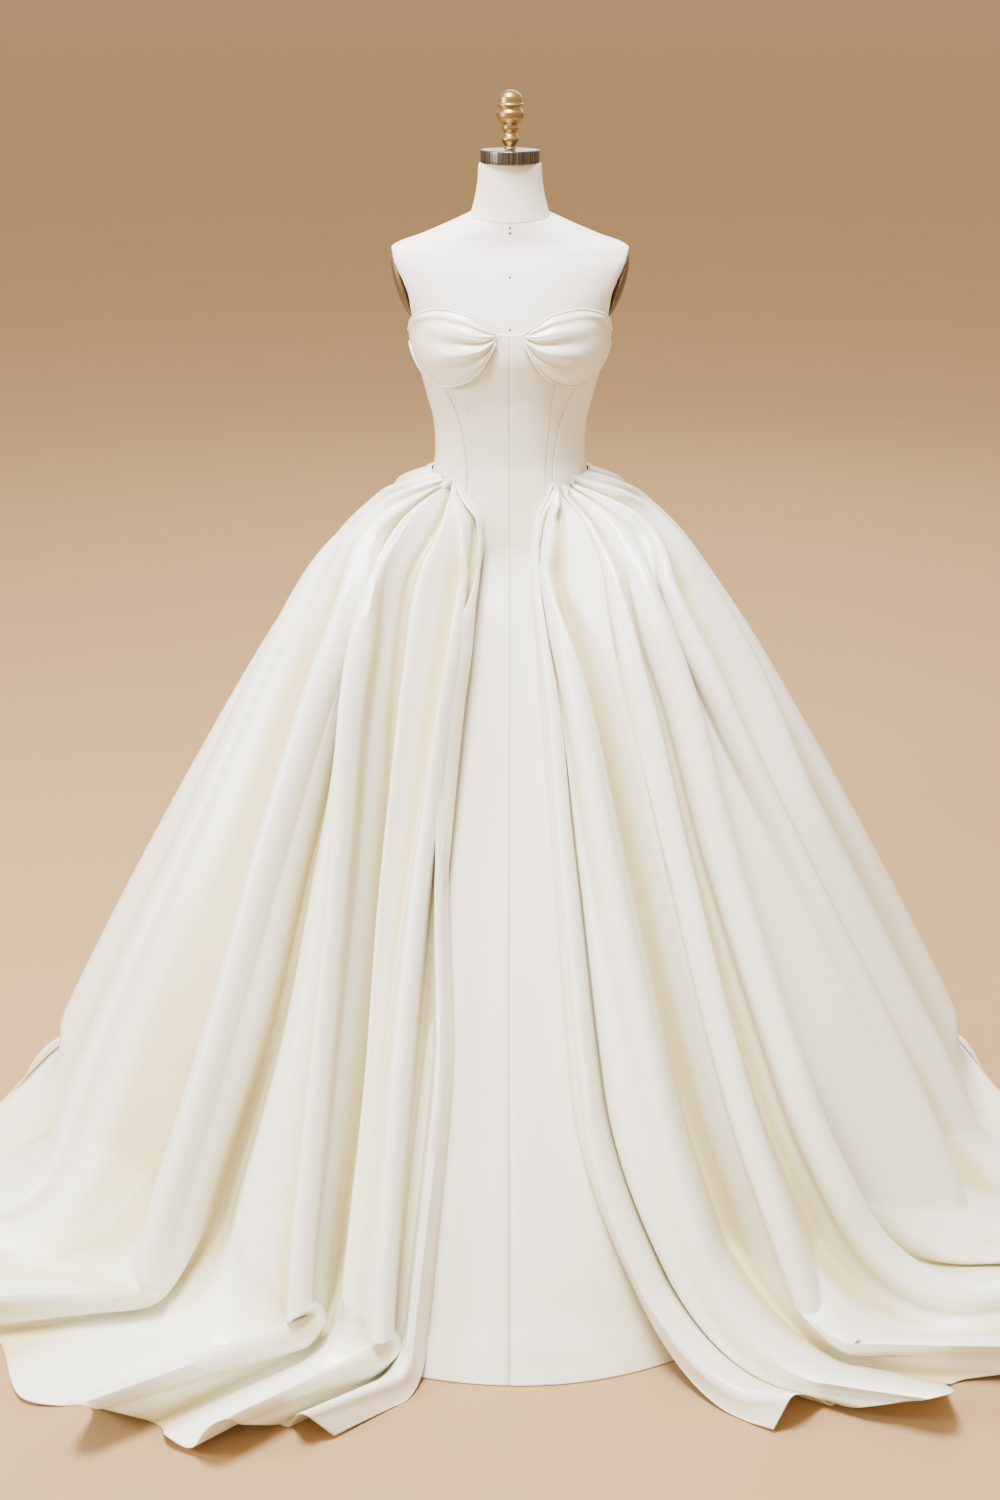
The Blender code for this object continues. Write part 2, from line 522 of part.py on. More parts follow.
def add_bodice():
    heights = column(SEAM_POINTS, "height")
    princess = column(SEAM_POINTS, "princess")
    side_front = column(SEAM_POINTS, "side_front")
    hem_angles = column(BODICE_HEM, "angle")
    hem_heights = column(BODICE_HEM, "height")
    cup_angles = column(CUP_POINTS, "angle")
    cup_lower = column(CUP_POINTS, "lower")
    gap = 0.25

    def hem(angle):
        return along(hem_angles, hem_heights, angle)

    def under_cup(angle):
        return along(cup_angles, cup_lower, angle) - 0.0010

    def neckline(angle):
        part = smooth((angle - SIDE_SEAM_ANGLE) / (180.0 - SIDE_SEAM_ANGLE))
        return BACK_NECKLINE_SIDE + (BACK_NECKLINE_CENTRE - BACK_NECKLINE_SIDE) * part

    def centre_back(height):
        return 180.0 - math.degrees((ZIP_WIDTH * 0.5 + SEAM) / bodice_radius(180.0, height))

    panels = (
        ("side_front", 3, (lambda z: along(heights, princess, z) + gap,
                           lambda z: along(heights, side_front, z) - gap), (under_cup, hem)),
        ("side", 5, (lambda z: along(heights, side_front, z) + gap,
                     lambda z: SIDE_SEAM_ANGLE - gap), (under_cup, hem)),
        ("side_back", 5, (lambda z: SIDE_SEAM_ANGLE + gap,
                          lambda z: SIDE_BACK_ANGLE - gap), (neckline, hem)),
        ("back", 5, (lambda z: SIDE_BACK_ANGLE + gap, centre_back), (neckline, hem)),
    )
    for label, side in (("left", -1), ("right", 1)):
        for name, across, edges, hems in panels:
            cloth("bodice_" + name + "_" + label, across, 8,
                  lambda u, v, edges=edges, hems=hems, side=side: panel_point(side, edges, hems, u, v))
        cloth("cup_" + label, 14, 10, lambda u, v, side=side: cup_point(side, u, 1.0 - v))


def add_torso():
    """The padded torso: rings lofted from the hips to the neck, flat where the arms would be."""
    bm = bmesh.new()
    around = 32
    rings = []
    middles = [(lower + upper) * 0.5 for lower, upper in zip(FORM_KEYS, FORM_KEYS[1:])]
    for height in sorted(list(FORM_KEYS) + middles):
        tilt = 0.15 * smooth((height - 1.50) / 0.10)
        circle = bmesh.ops.create_circle(bm, segments=around, radius=1.0)["verts"]
        for index, vert in enumerate(circle):
            angle = 360.0 * index / around
            signed = angle if angle <= 180.0 else 360.0 - angle
            point = polar(1 if angle <= 180.0 else -1, signed, form_radius(signed, height), height)
            point.z += tilt * point.y
            if height > ARM_PLANE_Z:
                arm_x = ARM_PLANE_X + ARM_PLANE_SLOPE * (point.z - ARM_PLANE_Z)
                point.x = min(max(point.x, -arm_x), arm_x)
            vert.co = point
        rings.append({edge for vert in circle for edge in vert.link_edges})
    for lower, upper in zip(rings, rings[1:]):
        bmesh.ops.bridge_loops(bm, edges=list(lower | upper))
    bmesh.ops.holes_fill(bm, edges=bm.edges, sides=around)
    add_object("form_torso", bm, linen())


def turned(name, rings, base, finish, segments=24, depth=1.0, tilt=0.0):
    """A turned solid standing on base, from radius and height pairs."""
    bm = bmesh.new()
    loops = []
    top = rings[-1].height
    for ring in rings:
        circle = bmesh.ops.create_circle(bm, segments=segments, radius=ring.radius)["verts"]
        for vert in circle:
            lean = tilt * vert.co.y * depth * (1.0 - ring.height / top)
            vert.co = Vector((vert.co.x, vert.co.y * depth, base + ring.height + lean))
        loops.append({edge for vert in circle for edge in vert.link_edges})
    for lower, upper in zip(loops, loops[1:]):
        bmesh.ops.bridge_loops(bm, edges=list(lower | upper))
    bmesh.ops.holes_fill(bm, edges=bm.edges, sides=segments)
    return add_object(name, bm, finish)


def add_form():
    add_torso()
    neck_base = FORM_KEYS[-1] + SEAM
    neck_height = NECK_TOP - neck_base
    scale = neck_height / NECK_RINGS[-1].height
    neck = tuple(TurnPoint(ring.radius, ring.height * scale) for ring in NECK_RINGS)
    turned("form_neck", neck, neck_base, linen(), segments=32, depth=0.80, tilt=0.15)
    cap_base = NECK_TOP + SEAM
    cap = (TurnPoint(CAP_RADIUS, 0.0), TurnPoint(CAP_RADIUS, CAP_HEIGHT - 0.0012),
           TurnPoint(CAP_RADIUS - 0.0012, CAP_HEIGHT))
    turned("neck_cap", cap, cap_base, steel(), segments=40)
    turned("finial", FINIAL, cap_base + CAP_HEIGHT + SEAM, brass(), segments=24)
    pole = (TurnPoint(POLE_RADIUS, 0.0), TurnPoint(POLE_RADIUS, TORSO_BOTTOM - BASE_HEIGHT - 2 * SEAM))
    turned("pole", pole, BASE_HEIGHT + SEAM, steel(), segments=24)
    base = (TurnPoint(BASE_RADIUS, 0.0), TurnPoint(BASE_RADIUS, BASE_HEIGHT * 0.55),
            TurnPoint(BASE_RADIUS * 0.92, BASE_HEIGHT * 0.8), TurnPoint(BASE_RADIUS * 0.30, BASE_HEIGHT))
    turned("floor_base", base, 0.0, steel(), segments=40)
    for label, side in (("left", -1), ("right", 1)):
        add_arm_plate("arm_plate_" + label, side)


def add_arm_plate(name, side):
    """A shallow oval dome over the flat end of the shoulder."""
    middle = 1.4950
    half_height = 0.0520
    half_depth = 0.0440
    dome = (TurnPoint(1.0, 0.0), TurnPoint(0.99, 0.15), TurnPoint(0.90, 0.48), TurnPoint(0.72, 0.76),
            TurnPoint(0.45, 0.94), TurnPoint(0.15, 1.0))
    plate = turned(name, dome, 0.0, plate_finish(), segments=32)
    lean = math.atan(ARM_PLANE_SLOPE)
    plane_x = ARM_PLANE_X + ARM_PLANE_SLOPE * (middle - ARM_PLANE_Z)
    out = (SEAM + 0.0002) / math.cos(lean)
    size = Matrix.Diagonal((half_height, half_depth, ARM_PLATE_BULGE, 1.0))
    turn = Matrix.Rotation(side * (math.radians(90) + lean), 4, "Y")
    place = Matrix.Translation((side * (plane_x + out), 0.004, middle))
    plate.data.transform(place @ turn @ size)


def block(size, centre):
    bm = bmesh.new()
    bmesh.ops.create_cube(bm, size=1.0)
    bmesh.ops.scale(bm, vec=size, verts=bm.verts)
    bmesh.ops.translate(bm, vec=centre, verts=bm.verts)
    return bm


def rod(radius, width, centre, segments=20):
    """A short cylinder along X."""
    bm = bmesh.new()
    bmesh.ops.create_cone(bm, cap_ends=True, segments=segments, radius1=radius, radius2=radius, depth=width)
    bmesh.ops.rotate(bm, matrix=Matrix.Rotation(math.radians(90), 3, "Y"), verts=bm.verts)
    bmesh.ops.translate(bm, vec=centre, verts=bm.verts)
    return bm


def combine(target, helper, operation):
    """Join or cut with a helper object that the finished model leaves out."""
    helper.hide_render = True
    helper.display_type = "WIRE"
    boolean = target.modifiers.new(helper.name, "BOOLEAN")
    boolean.operation = operation
    boolean.solver = "EXACT"
    boolean.object = helper


def add_zip():
    """A concealed zip: its closed tapes, the slider and a pull tab that turns on the slider's pin."""
    def tape(across, down):
        height = ZIP_TOP + (ZIP_BOTTOM - ZIP_TOP) * down
        radius = bodice_radius(180.0, height) - ZIP_SINK
        return Vector(((across - 0.5) * ZIP_WIDTH, radius, height))

    cloth("zip_tape", 1, 12, tape, wall=0.0014)
    slider_middle = SLIDER_TOP - SLIDER_HEIGHT * 0.5
    face = bodice_radius(180.0, SLIDER_TOP) + SEAM + SLIDER_THICK
    pin = Vector((0.0, face + PIN_STAND, SLIDER_TOP - 0.0040))
    slider = add_object("zip_slider", block((SLIDER_WIDTH, SLIDER_THICK, SLIDER_HEIGHT),
                                            (0.0, face - SLIDER_THICK * 0.5, slider_middle)), brass(), False)
    lug_out = PIN_STAND + 0.0012
    for label, side in (("left", -1), ("right", 1)):
        lug_x = side * (KNUCKLE_WIDTH * 0.5 + SEAM + LUG_THICK * 0.5)
        lug = add_object("lug_" + label, block((LUG_THICK, lug_out + 0.0006, 0.0034),
                                               (lug_x, face - 0.0006 + (lug_out + 0.0006) * 0.5, pin.z)),
                         brass(), False)
        combine(slider, lug, "UNION")
    axle = add_object("axle", rod(PIN_RADIUS, KNUCKLE_WIDTH + 2 * SEAM + LUG_THICK, pin), brass())
    combine(slider, axle, "UNION")

    tab_top = -0.0006
    pull = add_object("zip_pull", rod(KNUCKLE_RADIUS, KNUCKLE_WIDTH, (0.0, 0.0, 0.0)), brass())
    pull.location = pin
    leaf = bmesh.new()
    bmesh.ops.create_cone(leaf, cap_ends=True, segments=24, radius1=PULL_WIDTH * 0.5,
                          radius2=PULL_WIDTH * 0.5, depth=PULL_THICK)
    bmesh.ops.rotate(leaf, matrix=Matrix.Rotation(math.radians(90), 3, "X"), verts=leaf.verts)
    stretch = PULL_LENGTH - PULL_WIDTH
    for vert in leaf.verts:
        upper = vert.co.z > 1e-6
        vert.co.z -= 0.0 if upper else stretch
        vert.co.x *= 0.52 if upper else 1.0
    bmesh.ops.translate(leaf, vec=(0.0, 0.0, tab_top - PULL_WIDTH * 0.5), verts=leaf.verts)
    blade = add_object("blade", leaf, brass())
    blade.parent = pull
    combine(pull, blade, "UNION")
    bore = add_object("bore", rod(KNUCKLE_BORE, KNUCKLE_WIDTH * 2.0, (0.0, 0.0, 0.0)), brass())
    bore.parent = pull
    combine(pull, bore, "DIFFERENCE")


def main():
    for leftover in list(bpy.data.objects):
        bpy.data.objects.remove(leftover, do_unlink=True)
    add_form()
    add_bodice()
    add_centre_front()
    add_skirt()
    add_zip()


main()
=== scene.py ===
"""Strapless satin ball gown on a limbless dress form: its cloth, fittings and studio.

Metres, +Z up, the gown's front towards -Y. Cloth is a grid of squares laid on a surface that is worked
out from short tables, then given its thickness. Angles run from 0 at the centre front to 180 at the
centre back, the same way on both sides, and side is -1 for the left half and 1 for the right half.
"""
import math
from collections import namedtuple

import bmesh
import bpy
import numpy as np
from mathutils import Matrix, Vector


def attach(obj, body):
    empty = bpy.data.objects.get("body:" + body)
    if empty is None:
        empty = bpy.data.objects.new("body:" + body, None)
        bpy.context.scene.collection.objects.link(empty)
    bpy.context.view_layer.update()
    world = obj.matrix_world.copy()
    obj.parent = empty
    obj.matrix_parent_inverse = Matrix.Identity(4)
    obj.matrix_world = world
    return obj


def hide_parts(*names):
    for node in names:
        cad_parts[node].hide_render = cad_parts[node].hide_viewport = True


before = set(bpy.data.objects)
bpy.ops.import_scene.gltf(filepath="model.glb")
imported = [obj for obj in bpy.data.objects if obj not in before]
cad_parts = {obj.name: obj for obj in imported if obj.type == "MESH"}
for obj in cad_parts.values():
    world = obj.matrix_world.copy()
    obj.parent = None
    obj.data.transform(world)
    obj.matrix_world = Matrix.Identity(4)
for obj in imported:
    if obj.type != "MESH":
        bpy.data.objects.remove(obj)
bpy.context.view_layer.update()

bl_info = {
    "name": "Ball gown on a dress form",
    "version": (1, 0, 0),
    "blender": (4, 5, 0),
    "location": "View3D > Sidebar > Gown",
    "description": "Builds a strapless satin ball gown, its dress form and a plain studio",
    "category": "Add Mesh",
}

GOWN = "gown_on_form"
SIDES = (("left", -1), ("right", 1))


def table(kind, *rows):
    """Rows of numbers as records of one kind."""
    return tuple(kind(*row) for row in rows)


# ---------------------------------------------------------------- sizes shared with the frame
WALL = 0.0018             # satin with its backing
CLEAR = 0.0025            # bodice to dress form
SEAM = 0.0003             # between neighbouring pieces
LIFT = 0.0030             # skirt above the bodice at the waist seam
WAIST_SEAM = 1.170
BACK_START_ANGLE = 76
BACK_FULL_ANGLE = 150
NECK_TOP = 1.6930
CAP_HEIGHT = 0.0222
CAP_RADIUS = 0.0495
ARM_PLANE_X = 0.1600
ARM_PLANE_Z = 1.42
ARM_PLANE_SLOPE = 0.30
TORSO_BOTTOM = 0.90
ZIP_TOP = 1.403
ZIP_BOTTOM = 1.162
ZIP_WIDTH = 0.0050
SLIDER_HEIGHT = 0.0100
SLIDER_WIDTH = 0.0064
SLIDER_THICK = 0.0022
SLIDER_TOP = 1.4010
SIDE_SEAM_ANGLE = 86
SIDE_BACK_ANGLE = 135
BODICE_GAP = 0.16         # degrees between a bodice panel and its seam
SEAM_DIP = 0.0008         # how far a panel turns in at its seams
SEAM_DIP_WIDTH = 0.0022
WAIST_PULL = 0.0006       # small folds across the bodice at the waist
FORM_TILT = 0.15          # rise per metre of depth that slants the form's top
TILT_START = 1.50
TILT_HEIGHT = 0.10
ARM_HOLLOW = 0.0075       # how far the shoulder's flat end is cut back for the arm plate
ARM_HOLLOW_Z = 1.482
ARM_HOLLOW_HALF = 0.055
FRONT_TOP = 1.425         # the centre front: its top, where it leaves the hips, where it breaks
FRONT_HIP = 1.06
FRONT_BREAK = 0.09
FRONT_SET_BACK = 0.008    # how far it lies behind the folds beside it
FRONT_TUCK = 0.020        # and how much further along its outer edges
CUP_STAND = 0.0050        # the cups' edge above the bodice
FLOOR_GAP = 0.0017        # the lowest cloth above the floor
PIN_RADIUS = 0.0019
PIN_DEPTH = -0.055        # y of the form's front, where the pins sit
TAPE_GAP = 0.0006
TAPE_WALL = 0.0010
TOOTH_PITCH = 0.0016
TOOTH_SIZE = (0.0020, 0.0010, 0.0010)
FLOOR_RADIUS = 260.0

FormRing = namedtuple("FormRing", "height half_width front back square")
FORM_RINGS = table(
    FormRing,
    (0.900, 0.150, 0.105, 0.120, 2.1),
    (0.980, 0.166, 0.117, 0.132, 2.1),
    (1.060, 0.160, 0.112, 0.126, 2.1),
    (1.120, 0.143, 0.104, 0.112, 2.1),
    (1.165, 0.1295, 0.098, 0.098, 2.1),
    (1.200, 0.1240, 0.094, 0.090, 2.1),
    (1.250, 0.1265, 0.096, 0.084, 2.1),
    (1.300, 0.1385, 0.101, 0.086, 2.1),
    (1.340, 0.1490, 0.110, 0.090, 2.1),
    (1.385, 0.1610, 0.119, 0.094, 2.1),
    (1.420, 0.1650, 0.116, 0.097, 2.1),
    (1.460, 0.1820, 0.103, 0.099, 2.2),
    (1.500, 0.2020, 0.086, 0.099, 2.3),
    (1.531, 0.2120, 0.072, 0.094, 2.4),
    (1.552, 0.2000, 0.062, 0.082, 2.4),
    (1.571, 0.1520, 0.056, 0.073, 2.2),
    (1.592, 0.1020, 0.054, 0.067, 2.1),
    (1.606, 0.0720, 0.053, 0.062, 2.0),
)

# Skirt between its folds: distance from the axis at the front, side and back. It lies on the front up to
# the angle flat, and from the angle full on it has its whole dome.
SkirtRing = namedtuple("SkirtRing", "height front side back flat full")
SKIRT_RINGS = table(
    SkirtRing,
    (1.170, 0.1060, 0.1350, 0.1060, 54.0, 80.0),
    (1.163, 0.1090, 0.1570, 0.1350, 50.0, 78.0),
    (1.145, 0.1110, 0.1900, 0.1750, 40.0, 70.0),
    (1.105, 0.1140, 0.2400, 0.2250, 24.0, 60.0),
    (1.040, 0.1300, 0.3020, 0.2900, 15.0, 52.0),
    (0.950, 0.1900, 0.3620, 0.3520, 10.0, 50.0),
    (0.850, 0.2580, 0.4260, 0.4150, 8.0, 50.0),
    (0.700, 0.3540, 0.5120, 0.5000, 8.0, 50.0),
    (0.500, 0.4900, 0.6220, 0.6050, 8.0, 50.0),
    (0.300, 0.6250, 0.7270, 0.7000, 8.0, 50.0),
    (0.130, 0.7400, 0.8100, 0.7700, 8.0, 50.0),
    (0.000, 0.8150, 0.8550, 0.8150, 8.0, 50.0),
)

# A fold line runs from the waist seam down the skirt, breaks at the floor and runs out to the hem.
# Angles are at the heights in FOLD_HEIGHTS; rise_ values lift the line off the ring surface (below
# zero is a valley); reach is its distance from the axis at the floor; run_x (away from the middle)
# and run_y carry it along the floor; roll is its height there and bend the size of its floor break.
# In the tables of folds, angles are in degrees and all that follows them is in millimetres.
FOLD_HEIGHTS = (1.170, 1.100, 1.020, 0.880, 0.620, 0.330, 0.0)
Fold = namedtuple("Fold", "top hip seat thigh knee shin floor rise_hip rise_mid rise_low "
                          "reach run_x run_y roll bend")


def fold_table(*rows):
    """Folds from rows of seven angles and eight lengths."""
    angles = len(FOLD_HEIGHTS)
    return tuple(Fold(*row[:angles], *(length / 1000.0 for length in row[angles:])) for row in rows)


LEFT_FOLDS = fold_table(
    (50, 21.4, 20.9, 19.6, 14, 8.5, 9, -2, -3, -4, 840, 115, -90, 4, 30),
    (51, 24, 21.8, 20.6, 14.9, 10.2, 10.4, 12, 28, 36, 835, 140, -110, 34, 30),
    (52, 27, 24, 21.4, 16.2, 12.8, 12.2, 10, 2, -16, 800, 170, -130, 3, 60),
    (54, 32, 25.8, 22.8, 19.3, 16, 13.3, 16, 28, 38, 800, 220, -190, 42, 30),
    (54.6, 35, 28.5, 25.4, 22.2, 18.4, 15.5, 8, 8, 12, 790, 230, -190, 10, 60),
    (55.2, 39, 35, 30.5, 25.4, 20.6, 17.8, 10, 10, 8, 780, 240, -190, 12, 80),
    (56, 43.5, 41, 35.8, 28.6, 23, 20.5, -8, -36, -42, 765, 270, -200, 3, 80),
    (57, 48.5, 44.8, 39.4, 31.8, 26.3, 22, 14, 18, 28, 795, 305, -200, 50, 25),
    (57.2, 50.2, 45.7, 40.6, 33.4, 28.4, 24.6, 6, 4, -4, 792, 270, -140, 3, 60),
    (57.5, 52.5, 46.8, 42, 35.6, 31.5, 30, 8, 0, -2, 805, 300, -150, 6, 100),
    (58, 58, 50.4, 45.2, 41.4, 38.6, 38.6, -12, -36, -42, 812, 300, -90, 3, 110),
    (58.2, 58.5, 48.6, 44, 40.4, 37.6, 37.8, 6, 2, 6, 845, 360, -70, 24, 50),
    (58.6, 63, 54, 48.6, 44.6, 41.6, 40.4, 14, 26, 40, 870, 400, -50, 54, 30),
    (59.2, 69.5, 63, 56.6, 51.4, 50.6, 50.8, -8, -26, -32, 850, 330, -10, 3, 110),
    (60, 82, 84, 78, 70, 65, 59.5, 8, 16, 32, 895, 330, 30, 44, 110),
    (66, 92, 93, 89, 82, 77, 73, -4, -16, -20, 850, 180, 20, 3, 90),
    (73, 101, 101, 97, 92, 89, 86, 6, 12, 14, 825, 40, 60, 24, 110),
    (82, 110, 110, 108, 104, 101, 98, -3, -10, -12, 800, 20, 110, 3, 80),
)
RIGHT_FOLDS = fold_table(
    (42, 21, 16, 12.4, 10.2, 9.3, 17, -2, -3, -4, 875, 115, -70, 4, 90),
    (43, 22.8, 17.4, 14.6, 12.1, 11, 18.2, 12, 26, 34, 875, 130, -65, 34, 80),
    (43.6, 25, 20.6, 19, 15.9, 14.7, 21.8, 2, -10, -18, 840, 160, -80, 3, 100),
    (44, 24.6, 19.8, 18.4, 15.3, 14.2, 21, 10, 14, 16, 855, 200, -90, 18, 100),
    (45, 30, 23.2, 22.6, 21.6, 21.2, 24.5, 16, 25, 36, 880, 250, -100, 40, 110),
    (46, 36, 28.6, 27.2, 27, 26.6, 29.4, 2, -32, -44, 850, 250, -80, 3, 100),
    (47.4, 41, 36.6, 33.4, 30.3, 29, 31.4, 6, 0, 2, 890, 330, -50, 20, 60),
    (48.6, 42.6, 38.8, 35.6, 32.6, 31.2, 33.2, 15, 24, 34, 925, 400, -30, 48, 25),
    (50, 45, 41.4, 38.4, 35.6, 34.6, 38.6, 6, -8, -10, 880, 340, -30, 3, 110),
    (52, 49.4, 44.6, 42.2, 39, 38.2, 42.8, 15, 23, 36, 890, 380, -20, 48, 110),
    (53.2, 52.6, 46.8, 44.4, 41.2, 40.4, 45.2, 8, 6, 6, 870, 370, -15, 26, 110),
    (54.2, 55.4, 49, 46.2, 43, 42.6, 47.2, -10, -40, -56, 810, 340, 0, 3, 110),
    (55.2, 58, 50.2, 47.8, 46.2, 46, 50, 4, 0, -6, 870, 340, 10, 16, 80),
    (56.4, 61.5, 52.2, 51, 53, 55, 56.5, 15, 25, 38, 930, 340, 30, 44, 30),
    (58, 68.5, 62, 57.4, 57.6, 59.6, 64, -14, -26, -18, 880, 280, 60, 3, 90),
    (62, 80, 80, 75, 66, 67.5, 71, 9, 15, 18, 880, 230, 30, 22, 60),
    (67, 92, 92, 88, 83, 80, 79, -3, -12, -14, 840, 100, 50, 3, 70),
    (73, 101, 101, 98, 94, 91, 88, 6, 12, 14, 825, 30, 70, 24, 110),
    (82, 110, 110, 108, 104, 101, 98, -3, -10, -12, 800, 20, 110, 3, 80),
)
BACK_FOLDS = fold_table(
    (93, 120, 120, 118, 115, 112, 109, 8, 14, 18, 815, 35, 120, 34, 40),
    (106, 130, 129, 128, 125, 123, 121, -4, -16, -22, 790, 60, 180, 3, 90),
    (120, 140, 139, 138, 136, 134, 133, 9, 20, 26, 835, 70, 240, 40, 40),
    (135, 150, 149, 149, 147, 147, 146, -4, -16, -24, 805, 65, 300, 3, 90),
    (150, 161, 160, 160, 159, 159, 159, 9, 20, 26, 850, 45, 345, 42, 40),
    (165, 171, 170, 170, 170, 170, 170, -3, -10, -12, 830, 20, 370, 3, 90),
    (180, 180, 180, 180, 180, 180, 180, 4, 6, 8, 840, 0, 385, 16, 60),
)

# Seams of the bodice, as the angle from the centre front at each height.
SeamPoint = namedtuple("SeamPoint", "height princess side_front")
SEAM_POINTS = table(
    SeamPoint,
    (0.000, 20.0, 24.0),
    (0.300, 21.0, 25.0),
    (0.700, 24.0, 28.0),
    (1.000, 27.0, 33.0),
    (1.100, 30.0, 37.0),
    (1.170, 33.0, 40.0),
    (1.240, 36.0, 44.5),
    (1.276, 36.5, 47.0),
    (1.327, 36.5, 55.0),
    (1.340, 36.0, 57.0),
    (1.367, 19.5, 60.0),
    (1.405, 11.5, 64.0),
    (1.425, 10.0, 66.0),
)

# Upper and lower edge of a cup, as heights at angles from the centre front.
CupPoint = namedtuple("CupPoint", "angle lower upper")
CUP_POINTS = table(
    CupPoint,
    (10.5, 1.4100, 1.4250),
    (14.0, 1.3920, 1.4300),
    (20.0, 1.3680, 1.4390),
    (33.0, 1.3420, 1.4550),
    (50.0, 1.3310, 1.4620),
    (62.0, 1.3370, 1.4540),
    (72.0, 1.3530, 1.4370),
    (79.0, 1.3740, 1.4210),
    (85.0, 1.3930, 1.4130),
)

# Height of the bodice's lower edge, hidden under the skirt.
HemPoint = namedtuple("HemPoint", "angle height")
BODICE_HEM = table(
    HemPoint,
    (30.0, 1.120),
    (37.0, 1.138),
    (45.0, 1.148),
    (60.0, 1.158),
    (90.0, 1.161),
    (180.0, 1.161),
)
BACK_NECKLINE_SIDE = 1.422
BACK_NECKLINE_CENTRE = 1.405

# Gathers fan out from a cup's inner end: place up the cup, depth, how far they reach, and width.
Gather = namedtuple("Gather", "place depth reach width")
GATHERS = table(
    Gather,
    (0.60, -0.0060, 0.66, 0.075),
    (0.25, -0.0052, 0.62, 0.080),
    (0.80, 0.0036, 0.85, 0.090),
    (0.43, 0.0042, 0.60, 0.085),
    (0.70, 0.0018, 0.42, 0.040),
    (0.52, 0.0016, 0.36, 0.035),
    (0.34, -0.0016, 0.34, 0.035),
    (0.17, -0.0014, 0.32, 0.040),
    (0.90, -0.0016, 0.80, 0.035),
    (0.08, 0.0016, 0.38, 0.045),
)
CUP_FULLNESS = 0.026
CREST_SHARPEN = 0.0035    # how far a fold's crest stands out as a pressed edge
CREST_WIDTH = 0.011
CREST_RISE = 0.020        # a fold line whose rise_low is more than this is a crest
VALLEY_RISE = -0.008      # and one where it is less than this is a valley
LEAN = 0.034              # how far a crest leans over its valley
LEAN_WIDTH = 0.042
PLEAT_DEPTH = 0.009       # the sharp bottom of a valley, deepest where it leaves the waist seam
PLEAT_WIDTH = 0.008
HEM_DRAW = 0.84           # length of a valley's run along the floor against the tabled one
HEM_LOOP = 0.5            # how much higher a fold line ends, against its height on the floor
WIDE_SHADE_DEPTH = 0.019       # depth between folds at which the painted shade is full
FINE_SHADE_DEPTH = 0.005       # and the same for the narrow hollows beside a crest
CUP_SHADE_DEPTH = 0.0035       # and for those between a cup's gathers
FOLD_COLUMNS = 12         # columns of the shown cloth from one fold line to the next
CREST_HEIGHT = 1.25       # height of the shown crests against the tabled ones
VALLEY_DEPTH = 1.90       # and depth of the shown valleys
FORM_ROOM = 0.006         # least room between a fold and the form

# Creases pressed into the skirt: place along the fold lines at the top and at the hem, the steps
# between which they show, depth (above zero is a ridge) and width.
Crease = namedtuple("Crease", "top_place low_place start end depth width")
LEFT_CREASES = table(
    Crease,
    (4.55, 4.60, 0.08, 1.10, -0.0030, 0.012),
    (9.30, 9.50, 0.20, 1.40, 0.0050, 0.020),
    (12.50, 12.60, 0.12, 1.10, -0.0045, 0.020),
    (13.40, 13.60, 0.10, 1.20, -0.0060, 0.035),
    (14.60, 14.70, 0.05, 0.80, 0.0050, 0.030),
    (13.80, 13.30, 0.02, 0.30, 0.0060, 0.014),
    (14.30, 13.70, 0.02, 0.22, -0.0060, 0.014),
    (9.50, 9.20, 0.02, 0.26, -0.0050, 0.010),
)
RIGHT_CREASES = table(
    Crease,
    (4.50, 4.55, 0.06, 1.20, 0.0040, 0.012),
    (4.30, 4.30, 0.08, 1.30, -0.0035, 0.010),
    (7.55, 7.50, 0.12, 1.10, -0.0030, 0.010),
    (9.50, 9.40, 0.10, 0.90, 0.0030, 0.010),
    (13.50, 13.40, 0.12, 1.20, -0.0045, 0.018),
    (14.50, 14.55, 0.10, 0.95, 0.0050, 0.016),
    (15.50, 15.70, 0.08, 1.10, -0.0060, 0.035),
    (16.50, 16.60, 0.05, 0.80, 0.0050, 0.030),
    (13.80, 13.20, 0.02, 0.30, 0.0060, 0.014),
    (14.80, 14.20, 0.02, 0.24, -0.0060, 0.014),
)
# The same for both back panels, with places counted from their side seam.
BACK_CREASES = table(
    Crease,
    (1.5, 1.4, 0.05, 1.00, 0.0050, 0.026),
    (2.6, 2.4, 0.12, 1.30, -0.0050, 0.030),
    (3.6, 3.7, 0.04, 0.70, 0.0045, 0.022),
    (4.5, 4.4, 0.20, 1.50, -0.0055, 0.034),
    (5.6, 5.5, 0.06, 0.90, 0.0050, 0.028),
    (6.5, 6.5, 0.10, 1.10, -0.0040, 0.024),
)

TurnPoint = namedtuple("TurnPoint", "radius height")
FINIAL = table(
    TurnPoint,
    (0.0000, 0.0000), (0.0098, 0.0000), (0.0098, 0.0020), (0.0085, 0.0050), (0.0115, 0.0095),
    (0.0150, 0.0165), (0.0128, 0.0225), (0.0105, 0.0270), (0.0125, 0.0310), (0.0140, 0.0355),
    (0.0130, 0.0400), (0.0180, 0.0460), (0.0228, 0.0545), (0.0228, 0.0600), (0.0190, 0.0670),
    (0.0178, 0.0705), (0.0226, 0.0725), (0.0226, 0.0745), (0.0206, 0.0765), (0.0196, 0.0860),
    (0.0145, 0.0930), (0.0070, 0.0970), (0.0000, 0.0980),
)
NECK_RINGS = table(
    TurnPoint,
    (0.0670, 0.0000), (0.0635, 0.0120), (0.0588, 0.0300), (0.0545, 0.0550), (0.0518, 0.0850),
)
PIN_HEIGHTS = (1.5905, 1.5820, 1.5120, 1.4300)


